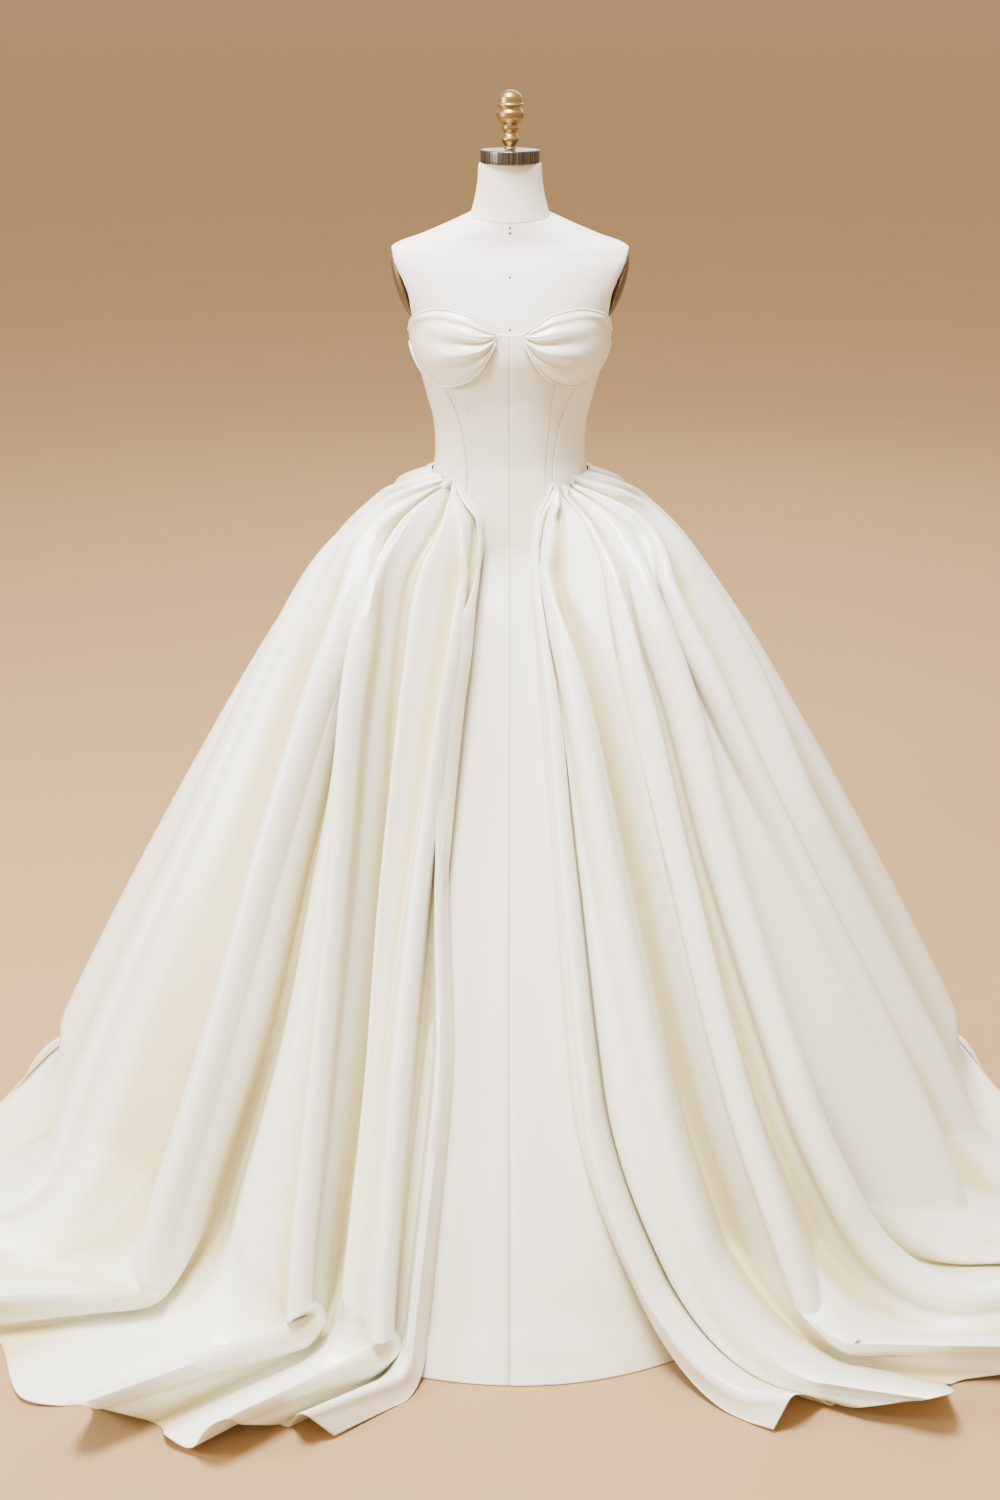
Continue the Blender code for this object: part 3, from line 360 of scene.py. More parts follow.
# ---------------------------------------------------------------- what a user would change
def colour_setting(name, description, default):
    """A colour that a user can change."""
    return bpy.props.FloatVectorProperty(name=name, description=description, default=default,
                                         subtype="COLOR", size=3, min=0.0, max=1.0)


def length_setting(name, description, default, low, high):
    """A length in metres, kept between two limits."""
    return bpy.props.FloatProperty(name=name, description=description, default=default, min=low, max=high,
                                   unit="LENGTH")


def power_setting(name, description, default):
    """The power of a light."""
    return bpy.props.FloatProperty(name=name, description=description, default=default, min=0.0,
                                   unit="POWER")


class GownLook(bpy.types.PropertyGroup):
    """Satin and seams."""
    thickness: length_setting("Satin Thickness", "Shown thickness of the satin", 0.0014, 0.0005, 0.003)
    ivory: colour_setting("Ivory", "Colour of the satin", (0.890, 0.870, 0.765))
    # painted shade: the colour painted into the satin deep between folds, standing for the shade there
    painted_shade_ivory: colour_setting("Painted Shade Ivory", "Colour deep between folds", (0.660, 0.575, 0.275))
    roughness: bpy.props.FloatProperty(
        name="Roughness", description="Roughness of the satin", default=0.33, min=0.0, max=1.0)
    crease: bpy.props.FloatProperty(
        name="Crease Strength", description="Depth of the small creases, 1 as tabled", default=1.0,
        min=0.0, max=3.0)
    piping: length_setting("Piping Radius", "Radius of the piping round the cups", 0.0021, 0.0005, 0.004)


class FormLook(bpy.types.PropertyGroup):
    """The dress form's finishes."""
    linen: colour_setting("Linen", "Colour of the form's cover", (0.920, 0.895, 0.840))
    steel: colour_setting("Steel", "Colour of the cap and stand", (0.085, 0.078, 0.070))
    brass: colour_setting("Brass", "Colour of the finial and zip", (0.370, 0.250, 0.100))
    bronze: colour_setting("Bronze", "Colour of the arm plates", (0.150, 0.100, 0.050))


class StudioLook(bpy.types.PropertyGroup):
    """Floor, lights and the room's light."""
    floor: colour_setting("Floor", "Colour of the floor", (0.390, 0.245, 0.115))
    key_power: power_setting("Key Light", "Power of the large light above the front", 880.0)
    side_power: power_setting("Side Light", "Power of the light on the left", 170.0)
    back_power: power_setting("Back Light", "Power of the light behind", 80.0)
    air: bpy.props.FloatProperty(
        name="Room Light", description="Strength of the even room light", default=1.25, min=0.0)
    air_colour: colour_setting("Room Colour", "Colour of the even room light", (1.000, 0.815, 0.600))


# ---------------------------------------------------------------- curves and surfaces
def smooth(amount):
    """Ease from 0 to 1."""
    amount = np.clip(amount, 0.0, 1.0)
    return amount * amount * (3.0 - 2.0 * amount)


def bump(distance, width):
    """A soft ridge of height 1 that has died away two widths from its middle."""
    return np.exp(-(distance / width) ** 2)


def column(rows, name):
    """One column of a table."""
    return np.array([getattr(row, name) for row in rows])


def along(keys, values, at):
    """Read a smooth curve through values at keys, which may rise or fall, without overshoot."""
    keys = np.asarray(keys, dtype=float)
    values = np.asarray(values, dtype=float)
    if keys[0] > keys[-1]:
        keys = keys[::-1]
        values = values[::-1]
    at = np.clip(at, keys[0], keys[-1])
    slopes = np.diff(values) / np.diff(keys)
    before = slopes[:-1]
    after = slopes[1:]
    same_way = before * after > 0.0
    total = np.where(same_way, before + after, 1.0)
    inner = np.where(same_way, 2.0 * before * after / total, 0.0)
    tangents = np.concatenate((slopes[:1], inner, slopes[-1:]))
    slot = np.clip(np.searchsorted(keys, at, side="right") - 1, 0, len(keys) - 2)
    span = keys[slot + 1] - keys[slot]
    part = (at - keys[slot]) / span
    rise = values[slot + 1] - values[slot]
    start = tangents[slot] * span
    end = tangents[slot + 1] * span
    return (values[slot] + start * part + (3.0 * rise - 2.0 * start - end) * part ** 2
            + (start + end - 2.0 * rise) * part ** 3)


def curve(rows, name, at):
    """A smooth curve through one column of a table, read at places along its first column."""
    return along([row[0] for row in rows], column(rows, name), at)


def polar(side, angle, radius, height):
    """Points at angles from the centre front, on the side whose sign is given."""
    turn = np.radians(angle)
    x = side * radius * np.sin(turn)
    y = -radius * np.cos(turn)
    return np.stack(np.broadcast_arrays(x, y, height), axis=-1)


def form_radius(angle, height):
    """Distance from the axis to the dress form's surface."""
    half_width, front, back, square = (curve(FORM_RINGS, name, height) for name in FormRing._fields[1:])
    turn = np.radians(angle)
    across = np.abs(np.sin(turn)) / half_width
    deep = np.where(np.cos(turn) > 0.0, np.cos(turn) / front, -np.cos(turn) / back)
    return (across ** square + deep ** square) ** (-1.0 / square)


def tilt(height):
    """Rise per metre of depth that slants the form's top."""
    return FORM_TILT * smooth((height - TILT_START) / TILT_HEIGHT)


def bodice_radius(angle, height):
    """Outer face of the fitted bodice."""
    return form_radius(angle, np.maximum(height, TORSO_BOTTOM)) + CLEAR + WALL


def skirt_radius(angle, height):
    """Outer face of the skirt between its folds."""
    front, side, back, flat, full = (curve(SKIRT_RINGS, name, height) for name in SkirtRing._fields[1:])
    radius = front + (side - front) * smooth((angle - flat) / (full - flat))
    behind = smooth((angle - BACK_START_ANGLE) / (BACK_FULL_ANGLE - BACK_START_ANGLE))
    radius = radius + (back - radius) * behind
    fitted = bodice_radius(angle, height) + LIFT
    return np.where(height < TORSO_BOTTOM, radius, np.maximum(radius, fitted))


def fold_line(fold, side, steps):
    """Points down one fold line; a step runs 0 to 3 from the waist seam to the hem."""
    corner = polar(side, fold.floor, fold.reach, fold.roll)
    run = np.array((side * fold.run_x, fold.run_y, 0.0))
    length = np.linalg.norm(run)
    drop_to = fold.bend + fold.roll
    height = drop_to + (WAIST_SEAM - drop_to) * (1.0 - np.minimum(steps, 1.0))
    angles = (fold.top, fold.hip, fold.seat, fold.thigh, fold.knee, fold.shin, fold.floor)
    angle = along(FOLD_HEIGHTS, angles, height)
    rises = (0.0, fold.rise_hip, fold.rise_mid, fold.rise_low, fold.rise_low)
    rise = along((WAIST_SEAM, 1.12, 0.60, 0.15, 0.0), rises, height)
    rise = np.where(rise < 0.0, VALLEY_DEPTH * rise, CREST_HEIGHT * rise)
    inmost = np.where(height < TORSO_BOTTOM, 0.0, form_radius(angle, height) + FORM_ROOM)
    hanging = polar(side, angle, np.maximum(skirt_radius(angle, height) + rise, inmost), height)
    lying = corner + run * (fold.bend / length)
    part = np.clip(steps - 1.0, 0.0, 1.0)[:, None]
    points = hanging * (1.0 - part) ** 2 + corner * (2.0 * part * (1.0 - part)) + lying * part ** 2
    beyond = np.clip(steps - 2.0, 0.0, 1.0)[:, None]
    drawn = HEM_DRAW if fold.rise_low < VALLEY_RISE else 1.0
    loop = np.array((0.0, 0.0, HEM_LOOP * fold.roll))
    return points + (run * (1.0 - fold.bend / length) * drawn + loop) * beyond


def skirt_points(folds, side, places, steps):
    """The pleated skirt, row by row: a smooth curve through all the fold lines."""
    last = len(folds) - 1
    lines = [fold_line(fold, side, steps) for fold in folds]
    lines = [lines[0]] + lines + [fold_line(folds[last - 1], -side, steps)]
    lines = np.stack(lines, axis=1)
    slot = np.minimum(places.astype(int), last - 1)
    part = (places - slot)[None, :, None]
    before, start, end, after = (lines[:, slot + offset] for offset in range(4))
    leave = (end - before) * 0.5
    arrive = (after - start) * 0.5
    rise = end - start
    return (start + leave * part + (rise * 3.0 - leave * 2.0 - arrive) * part ** 2
            + (leave + arrive - rise * 2.0) * part ** 3)


def grid_normals(points):
    """Unit normals of a grid of points."""
    sideways = np.gradient(points, axis=1)
    lengthways = np.gradient(points, axis=0)
    normals = np.cross(sideways, lengthways)
    return normals / np.maximum(np.linalg.norm(normals, axis=2, keepdims=True), 1e-9)


def outward_sign(points):
    """1 where a grid's columns and rows give normals that turn away from the axis, else -1."""
    middle = points[points.shape[0] // 2, points.shape[1] // 2]
    normal = grid_normals(points)[points.shape[0] // 2, points.shape[1] // 2]
    return 1.0 if normal[0] * middle[0] + normal[1] * middle[1] > 0.0 else -1.0


def measure(points, axis):
    """Distance walked along each row (axis 1) or column (axis 0) of a grid, in metres."""
    steps = np.linalg.norm(np.diff(points, axis=axis), axis=2)
    start = np.zeros_like(np.take(steps, [0], axis=axis))
    return np.concatenate((start, np.cumsum(steps, axis=axis)), axis=axis)


def walk_to(place, places, across):
    """Distance along each row to a place, which may change from row to row, as a column."""
    wanted = np.broadcast_to(place, len(across))
    return np.array([np.interp(at, places, row) for at, row in zip(wanted, across)])[:, None]


def lean(points, places, steps, crests):
    """Lean a skirt's crests over the valleys on their front side."""
    across = measure(points, 1)
    forward = -np.gradient(points, axis=1)
    forward /= np.maximum(np.linalg.norm(forward, axis=2, keepdims=True), 1e-9)
    shown = LEAN * smooth(steps / 0.25)[:, None]
    for crest in crests:
        free = min(1.0, 0.3 * crest)
        shift = free * shown * bump(across - walk_to(crest, places, across), LEAN_WIDTH)
        points = points + forward * shift[:, :, None]
    return points


def press(points, places, steps, creases, crests, valleys, strength):
    """Press creases into a skirt, sharpen its crests and tuck in its pleats at the waist."""
    across = measure(points, 1)
    lift = np.zeros(across.shape)
    sharp = smooth(steps / 0.12) * (1.0 - 0.5 * smooth((steps - 2.0) / 1.0))
    tucked = smooth((steps + 0.02) / 0.04) * (1.0 - 0.35 * smooth((steps - 0.10) / 0.45))
    for crest in crests:
        ridge = bump(across - walk_to(crest, places, across), CREST_WIDTH)
        lift += CREST_SHARPEN * sharp[:, None] * ridge
    for valley in valleys:
        ridge = bump(across - walk_to(valley, places, across), PLEAT_WIDTH)
        lift -= PLEAT_DEPTH * tucked[:, None] * ridge
    for crease in creases:
        part = np.clip((steps - crease.start) / (crease.end - crease.start), 0.0, 1.0)
        place = crease.top_place + (crease.low_place - crease.top_place) * part
        fade = 0.3 * (crease.end - crease.start)
        shown = smooth((steps - crease.start) / fade) * smooth((crease.end - steps) / fade)
        ridge = bump(across - walk_to(place, places, across), crease.width)
        lift += crease.depth * shown[:, None] * ridge
    return points + grid_normals(points) * (outward_sign(points) * strength * lift)[:, :, None]


# ---------------------------------------------------------------- materials
class Shade:
    """A shader socket that can stand in sums: each sum adds its Math node."""

    def __init__(self, socket):
        self.socket = socket

    def node(self, kind, settings=None, inputs=None, output=0):
        """Any other node: its settings first, then the values or links of its sockets."""
        tree = self.socket.id_data
        made = tree.nodes.new(kind)
        for name, value in (settings or {}).items():
            setattr(made, name, value)
        for name, value in (inputs or {}).items():
            if isinstance(value, Shade):
                tree.links.new(value.socket, made.inputs[name])
            else:
                made.inputs[name].default_value = value
        return Shade(made.outputs[output])

    def maths(self, operation, first, second=0.0):
        return self.node("ShaderNodeMath", {"operation": operation}, {0: first, 1: second})

    def __add__(self, other):
        return self.maths("ADD", self, other)

    def __sub__(self, other):
        return self.maths("SUBTRACT", self, other)

    def __rsub__(self, other):
        return self.maths("SUBTRACT", other, self)

    def __mul__(self, other):
        return self.maths("MULTIPLY", self, other)

    __radd__ = __add__
    __rmul__ = __mul__

    def part(self, name):
        """One axis of a vector."""
        return self.node("ShaderNodeSeparateXYZ", None, {0: self}, name)

    def noise(self, scale, detail=2.0, stretch=(1.0, 1.0, 1.0)):
        """Soft noise on these coordinates, from 0 to 1."""
        spread = self.node("ShaderNodeVectorMath", {"operation": "MULTIPLY"}, {0: self, 1: stretch})
        return spread.node("ShaderNodeTexNoise", None, {"Vector": spread, "Scale": scale, "Detail": detail})

    def threads(self, scale, direction):
        """Parallel threads along one axis, from 0 to 1."""
        settings = {"wave_type": "BANDS", "bands_direction": direction}
        return self.node("ShaderNodeTexWave", settings, {"Vector": self, "Scale": scale, "Distortion": 0.6,
                                                         "Detail": 1.0})

    def blend(self, low, high):
        """A colour between two, by this socket's value."""
        colours = {0: self, 6: opaque(low), 7: opaque(high)}
        return self.node("ShaderNodeMix", {"data_type": "RGBA"}, colours, 2)

    def clamp(self):
        """This value, held between 0 and 1."""
        return self.node("ShaderNodeClamp", None, {"Value": self})

    def relief(self, distance, strength):
        """A bump from this socket's height, in metres."""
        inputs = {"Height": self, "Distance": distance, "Strength": strength}
        return self.node("ShaderNodeBump", None, inputs)


def opaque(tint):
    """A colour with its alpha."""
    return (*tint, 1.0)


def shaded(tint, share):
    """A darker or lighter colour, up to full white."""
    return tuple(min(channel * share, 1.0) for channel in tint)


def finish(name, tint, roughness, metallic=0.0, extras=None, space="Object"):
    """A new material with its fixed values set; returns it, its shader and its coordinates."""
    made = bpy.data.materials.new(name)
    made.use_nodes = True
    tree = made.node_tree
    shader = tree.nodes["Principled BSDF"]
    shader.inputs["Base Color"].default_value = opaque(tint)
    shader.inputs["Roughness"].default_value = roughness
    shader.inputs["Metallic"].default_value = metallic
    for socket, value in (extras or {}).items():
        shader.inputs[socket].default_value = value
    coordinates = tree.nodes.new("ShaderNodeTexCoord")
    return made, shader, Shade(coordinates.outputs[space])


def feed(shader, socket, value):
    """Link a value to a socket of the shader."""
    shader.id_data.links.new(value.socket, shader.inputs[socket])


def satin(look):
    """Duchess satin: fine twill threads, a soft gloss, and painted shade, warmer in tone, deep between the
    folds.
    """
    made, shader, cloth = finish("ivory_duchess_satin", look.ivory, look.roughness, 0.0, {
        "Specular IOR Level": 0.60, "Coat Weight": 0.25, "Coat Roughness": 0.30}, "UV")
    # painted shade: a value stored on the cloth's points darkens the satin towards a cream colour where it
    # lies deep between folds
    painted_shade = cloth.node("ShaderNodeAttribute", {"attribute_name": "painted_shade"}, None, "Fac")
    cloudy = cloth.noise(9.0, 3.0, (1.0, 0.35, 1.0))
    painted_shade_amount = (painted_shade * 0.85 + (cloudy - 0.5) * 0.12).clamp()
    feed(shader, "Base Color", painted_shade_amount.blend(look.ivory, look.painted_shade_ivory))
    threads = cloth.threads(260.0, "X") * 0.6 + cloth.threads(200.0, "DIAGONAL") * 0.4
    feed(shader, "Roughness", look.roughness - 0.05 + cloudy * 0.10 + threads * 0.03)
    swell = cloth.noise(14.0, 2.0, (1.0, 0.22, 1.0)).relief(0.0028, 0.55)
    fine = threads.node("ShaderNodeBump", None, {"Height": threads, "Distance": 0.00012, "Strength": 0.5,
                                                 "Normal": swell})
    feed(shader, "Normal", fine)
    return made


def linen(look):
    """The form's plain woven cover, with its sewn seams down the front and painted shade on the neck."""
    made, shader, place = finish("form_linen_weave", look.linen, 0.8, 0.0, {
        "Specular IOR Level": 0.3, "Sheen Weight": 0.2})
    half_seam = 0.0005
    neck_shade_start = 1.585
    weave = place.threads(330.0, "X") * place.threads(330.0, "Z")
    mottle = place.noise(30.0, 3.0)
    sideways = place.maths("ABSOLUTE", place.part("X"))
    height = place.part("Z")
    front = place.maths("LESS_THAN", place.part("Y"), 0.0)
    centre = place.maths("LESS_THAN", sideways, half_seam)
    princess = 0.0700 + (height - 1.50) * 0.14
    beside = place.maths("LESS_THAN", place.maths("ABSOLUTE", sideways - princess), half_seam)
    sewn = place.maths("MAXIMUM", centre * 0.5, beside * 0.35) * front
    # painted shade: the neck is painted darker from the top of the torso up, for the shade it stands in
    neck = ((height - neck_shade_start) * 25.0).clamp() * 0.5
    tone = (sewn + neck + (mottle - 0.5) * 0.25 + 0.1).clamp()
    # darker linen shared by the seams' tone, the mottle and the painted shade on the neck
    seam_tone_and_neck_shade = (look.linen[0] * 0.78, look.linen[1] * 0.72, look.linen[2] * 0.62)
    feed(shader, "Base Color", tone.blend(look.linen, seam_tone_and_neck_shade))
    feed(shader, "Roughness", 0.75 + mottle * 0.12)
    feed(shader, "Normal", (weave - sewn * 2.0).relief(0.00025, 0.5))
    return made


def brushed_steel(look):
    """Steel brushed round its rim: bright and dark streaks run up it, partly brushed grain and partly
    painted reflection.
    """
    made, shader, place = finish("brushed_steel_painted_streaks", look.steel, 0.32, 1.0)
    turn = place.maths("ARCTAN2", place.part("Y"), place.part("X"))
    streak = place.node("ShaderNodeTexNoise", {"noise_dimensions": "1D"}, {"W": turn * 14.0, "Scale": 1.0,
                                                                          "Detail": 5.0, "Roughness": 0.7})
    # painted reflection: a brighter copy of the steel in the base colour forms bright streaks over the
    # brushed grain
    painted_reflection_streaks = ((streak - 0.42) * 3.2).clamp()
    feed(shader, "Base Color", painted_reflection_streaks.blend(look.steel, shaded(look.steel, 3.6)))
    feed(shader, "Roughness", 0.26 + streak * 0.14)
    feed(shader, "Normal", place.noise(900.0, 1.0, (1.0, 1.0, 0.04)).relief(0.00004, 0.5))
    return made


def worn_metal(name, tint, roughness, metallic=1.0):
    """Metal with cloudy polish and darker wear."""
    made, shader, place = finish(name, tint, roughness, metallic)
    cloud = place.noise(60.0, 4.0)
    feed(shader, "Base Color", ((cloud - 0.5) * 1.2).clamp().blend(tint, shaded(tint, 0.62)))
    feed(shader, "Roughness", roughness - 0.04 + cloud * 0.10)
    return made


def floor_finish(look):
    """Plain tan floor with a faint mottle."""
    made, shader, place = finish("floor_paper", look.floor, 0.7, 0.0, {"Specular IOR Level": 0.2})
    feed(shader, "Base Color", place.noise(3.0, 3.0).blend(look.floor, shaded(look.floor, 0.96)))
    return made


def gown_satin(context):
    """The gown's satin, made when it is first asked for."""
    return bpy.data.materials.get("ivory_duchess_satin") or satin(context.scene.gown_look)


def form_brass(context):
    """The brass of the finial and zip, made when it is first asked for."""
    tint = context.scene.form_look.brass
    return bpy.data.materials.get("worn_brass") or worn_metal("worn_brass", tint, 0.36)


# ---------------------------------------------------------------- building
def add_piece(name, bm, material, nodes, smooth_faces=True):
    """Make a piece from a bmesh, riding on the gown and standing for CAD nodes."""
    mesh = bpy.data.meshes.new(name)
    bm.to_mesh(mesh)
    bm.free()
    if smooth_faces:
        mesh.shade_smooth()
        mesh.set_sharp_from_angle(angle=math.radians(55))
    mesh.materials.append(material)
    piece = bpy.data.objects.new(name, mesh)
    bpy.context.scene.collection.objects.link(piece)
    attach(piece, GOWN)
    if nodes:
        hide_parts(*nodes)
    return piece


def weld(bm):
    """Join the points that meet and turn the faces outwards."""
    bmesh.ops.remove_doubles(bm, verts=bm.verts, dist=1e-6)
    bmesh.ops.recalc_face_normals(bm, faces=bm.faces)


def fill_ends(bm, sides):
    """Fill the open ends of a round shape, with faces of up to so many sides."""
    ends = [edge for edge in bm.edges if edge.is_boundary]
    bmesh.ops.holes_fill(bm, edges=ends, sides=sides)
    bmesh.ops.recalc_face_normals(bm, faces=bm.faces)


def grid_mesh(points, closed=False):
    """A bmesh grid laid on points[row, column], with its cloth coordinates in metres."""
    rows, columns = points.shape[0] - 1, points.shape[1] - 1
    across = measure(points, 1)
    down = measure(points, 0)
    bm = bmesh.new()
    layer = bm.loops.layers.uv.new("cloth")
    bmesh.ops.create_grid(bm, x_segments=columns, y_segments=rows, size=0.5)
    slots = {}
    for vert in bm.verts:
        slot = (round((vert.co.y + 0.5) * rows), round((vert.co.x + 0.5) * columns))
        slots[vert] = slot
        vert.co = points[slot]
    for face in bm.faces:
        for loop in face.loops:
            slot = slots[loop.vert]
            loop[layer].uv = (across[slot], down[slot])
    if closed:
        weld(bm)
    return bm


def lay_cloth(name, points, material, node, wall, painted_shade=None):
    """A thin shell of cloth laid on a grid of points and given its thickness inwards."""
    if outward_sign(points) < 0.0:
        points = points[:, ::-1]
        painted_shade = None if painted_shade is None else painted_shade[:, ::-1]
    bm = grid_mesh(points)
    # painted shade: how dark each point is painted, stored on the points for the satin
    if painted_shade is not None:
        tone = bm.verts.layers.float.new("painted_shade")
        for vert, depth in zip(bm.verts, painted_shade.ravel()):
            vert[tone] = depth
    piece = add_piece(name, bm, material, (node,))
    thick = piece.modifiers.new("satin_thickness", "SOLIDIFY")
    thick.thickness = wall
    thick.offset = -1.0
    return piece


def tube(name, path, radius, material, outward, sides=10):
    """A round cord of cloth along a path, closed at both ends; outward gives each ring its top."""
    ahead = np.gradient(path, axis=0)
    ahead /= np.linalg.norm(ahead, axis=1, keepdims=True)
    over = np.cross(ahead, np.cross(outward, ahead))
    over /= np.linalg.norm(over, axis=1, keepdims=True)
    beside = np.cross(ahead, over)
    turn = np.linspace(0.0, 2.0 * np.pi, sides + 1)[None, :, None]
    ring = over[:, None, :] * np.cos(turn) + beside[:, None, :] * np.sin(turn)
    bm = grid_mesh(path[:, None, :] + ring * radius, closed=True)
    fill_ends(bm, sides)
    add_piece(name, bm, material, ())


def spun(rings, base, segments=96, steps=4):
    """A turned solid: a profile of radius and height pairs spun round the axis."""
    places = np.arange(len(rings), dtype=float)
    fine = np.linspace(0.0, places[-1], (len(rings) - 1) * steps + 1)
    radii = along(places, column(rings, "radius"), fine)
    heights = along(places, column(rings, "height"), fine)
    bm = bmesh.new()
    profile = [bm.verts.new((radius, 0.0, base + height)) for radius, height in zip(radii, heights)]
    edges = [bm.edges.new(pair) for pair in zip(profile, profile[1:])]
    bmesh.ops.spin(bm, geom=profile + edges, cent=(0.0, 0.0, 0.0), axis=(0.0, 0.0, 1.0),
                   angle=math.radians(360), steps=segments, use_merge=True)
    weld(bm)
    return bm


def rounded_block(size, centre, radius):
    """A box with rounded edges."""
    bm = bmesh.new()
    bmesh.ops.create_cube(bm, size=1.0)
    bmesh.ops.scale(bm, vec=size, verts=bm.verts)
    bmesh.ops.bevel(bm, geom=bm.edges, offset=radius, affect="EDGES", segments=3, profile=0.5,
                    material=-1)
    bmesh.ops.translate(bm, vec=centre, verts=bm.verts)
    return bm


def repaint(node, material):
    """Give a CAD node that stays a better material."""
    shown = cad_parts[node]
    if not shown.material_slots:
        shown.data.materials.append(material)
    for slot in shown.material_slots:
        slot.material = material


# ---------------------------------------------------------------- the gown's parts
def front_points(side):
    """One half of the centre front, from the bridge between the cups to the hem."""
    lowest = FRONT_BREAK * (1.0 - np.linspace(0.0, 1.0, 24)[1:]) ** 1.3 + 0.001
    heights = np.concatenate((np.linspace(FRONT_TOP, FRONT_HIP, 90),
                              np.linspace(FRONT_HIP, FRONT_BREAK, 110)[1:], lowest))
    across = np.linspace(0.0, 1.0, 29)
    height = heights[:, None]
    edge = curve(SEAM_POINTS, "princess", height)
    angle = edge * across[None, :]
    fitted = bodice_radius(angle, height)
    cone = np.maximum(curve(SKIRT_RINGS, "front", height), fitted + FRONT_SET_BACK)
    tuck = FRONT_TUCK * smooth((FRONT_HIP - height) / 0.5) * across ** 2
    flare = 0.010 * smooth((0.06 - height) / 0.06)
    leave = smooth((WAIST_SEAM - height) / 0.14)
    hanging = cone - FRONT_SET_BACK - tuck + flare
    wave = 0.0022 * np.sin(height * 9.0 + side * angle * 0.16) * smooth((1.02 - height) / 0.4)
    break_roll = 0.0040 * bump(height - 0.045, 0.022) * (1.0 + 0.6 * np.sin(angle * 0.33 * side + 1.0))
    radius = np.maximum(fitted, fitted + (hanging - fitted) * leave) + wave + break_roll
    seam_dip = 0.0007 * bump(across * edge * 0.0017, SEAM_DIP_WIDTH) * smooth((height - 0.02) / 0.05)
    points = polar(side, angle, radius - seam_dip, height)
    points[:, :, 0] += side * SEAM * 0.5
    return points


def panel_points(side, edges, hems, across, down):
    """A fitted bodice panel between two seams, turned in a little along them."""
    start, end = edges
    top, bottom = hems
    u = np.linspace(0.0, 1.0, across + 1)[None, :]
    v = np.linspace(0.0, 1.0, down + 1)[:, None]
    height = np.full((down + 1, across + 1), 1.25)
    angle = start(height) + (end(height) - start(height)) * u
    for _ in range(4):
        height = top(angle) + (bottom(angle) - top(angle)) * v
        angle = start(height) + (end(height) - start(height)) * u
    radius = bodice_radius(angle, height)
    from_seam = np.minimum(angle - start(height), end(height) - angle) * radius * math.radians(1.0)
    dip = SEAM_DIP * bump(from_seam, SEAM_DIP_WIDTH)
    pull = WAIST_PULL * np.sin(height * 95.0 + angle * 0.5) * smooth((1.24 - height) / 0.06)
    return polar(side, angle, radius - dip + pull, height)


def cup_surface(side, across, up, stand=0.0):
    """A gathered cup, from its inner end (across 0) to the side seam (across 1)."""
    angles = column(CUP_POINTS, "angle")
    angle = angles[0] + (angles[-1] - angles[0]) * across
    lower = curve(CUP_POINTS, "lower", angle)
    upper = curve(CUP_POINTS, "upper", angle)
    height = lower + (upper - lower) * up
    arch = (np.sin(np.pi * across) ** 0.9 * (1.15 - across)
            * np.sin(np.pi * (0.08 + 0.84 * up)) ** 0.8)
    radius = bodice_radius(angle, height) + CUP_STAND + CUP_FULLNESS * arch
    for gather in GATHERS:
        middle = gather.place + (0.5 - gather.place) * 0.1
        strength = smooth(across / 0.05) * smooth((gather.reach - across) / (gather.reach * 0.8))
        radius = radius + gather.depth * strength * bump(up - middle, gather.width * (0.55 + 0.9 * across))
    rolled = 0.0030 * bump(up - 0.93, 0.05) * smooth(across / 0.10) * smooth((1.0 - across) / 0.3)
    tuck = -0.0035 * bump(across - 0.90, 0.05) * bump(up - 0.35, 0.16)
    return polar(side, angle, radius + rolled + tuck + stand, height)


def depth_below(points, reach):
    """How far each point of a grid lies inside the mean of its row's neighbours, in metres."""
    radius = np.hypot(points[:, :, 0], points[:, :, 1])
    padded = np.pad(radius, ((0, 0), (reach + 1, reach)), mode="edge")
    total = np.cumsum(padded, axis=1)
    width = 2 * reach + 1
    return (total[:, width:] - total[:, :-width]) / width - radius


def skirt_painted_shade(points):
    """Painted shade for each point, from 0 to 1, by how deep it lies between its neighbouring folds."""
    wide = depth_below(points, FOLD_COLUMNS) / WIDE_SHADE_DEPTH
    fine = depth_below(points, FOLD_COLUMNS // 3) / FINE_SHADE_DEPTH
    return np.clip(0.08 + 0.7 * wide + 0.5 * fine, 0.0, 1.0)


def skirt_grid(side, folds, creases, strength):
    """Half the skirt's points, and the painted shade of each by how deep it lies between the folds."""
    hang = np.linspace(0.0, 1.0, 100) ** 1.15
    steps = np.concatenate((hang, np.linspace(1.0, 2.0, 26)[1:], np.linspace(2.0, 3.0, 26)[1:]))
    last = len(folds) - 1
    places = np.linspace(0, last, last * FOLD_COLUMNS + 1)
    points = skirt_points(folds, side, places, steps)
    crests = [place for place, fold in enumerate(folds) if fold.rise_low > CREST_RISE]
    valleys = [place for place, fold in enumerate(folds) if fold.rise_low < VALLEY_RISE]
    points = lean(points, places, steps, crests)
    points = press(points, places, steps, creases, crests, valleys, strength)
    return points, skirt_painted_shade(points)


def skirt_panel(points, first, last):
    """The part of a skirt grid between two fold lines, drawn in a little at its seams."""
    panel = points[:, first * FOLD_COLUMNS:last * FOLD_COLUMNS + 1].copy()
    for edge, inner in ((0, 1), (-1, -2)):
        toward = panel[:, inner] - panel[:, edge]
        panel[:, edge] += toward / np.linalg.norm(toward, axis=1, keepdims=True) * SEAM * 0.5
    panel[:, :, 2] = np.maximum(panel[:, :, 2], FLOOR_GAP)
    return panel


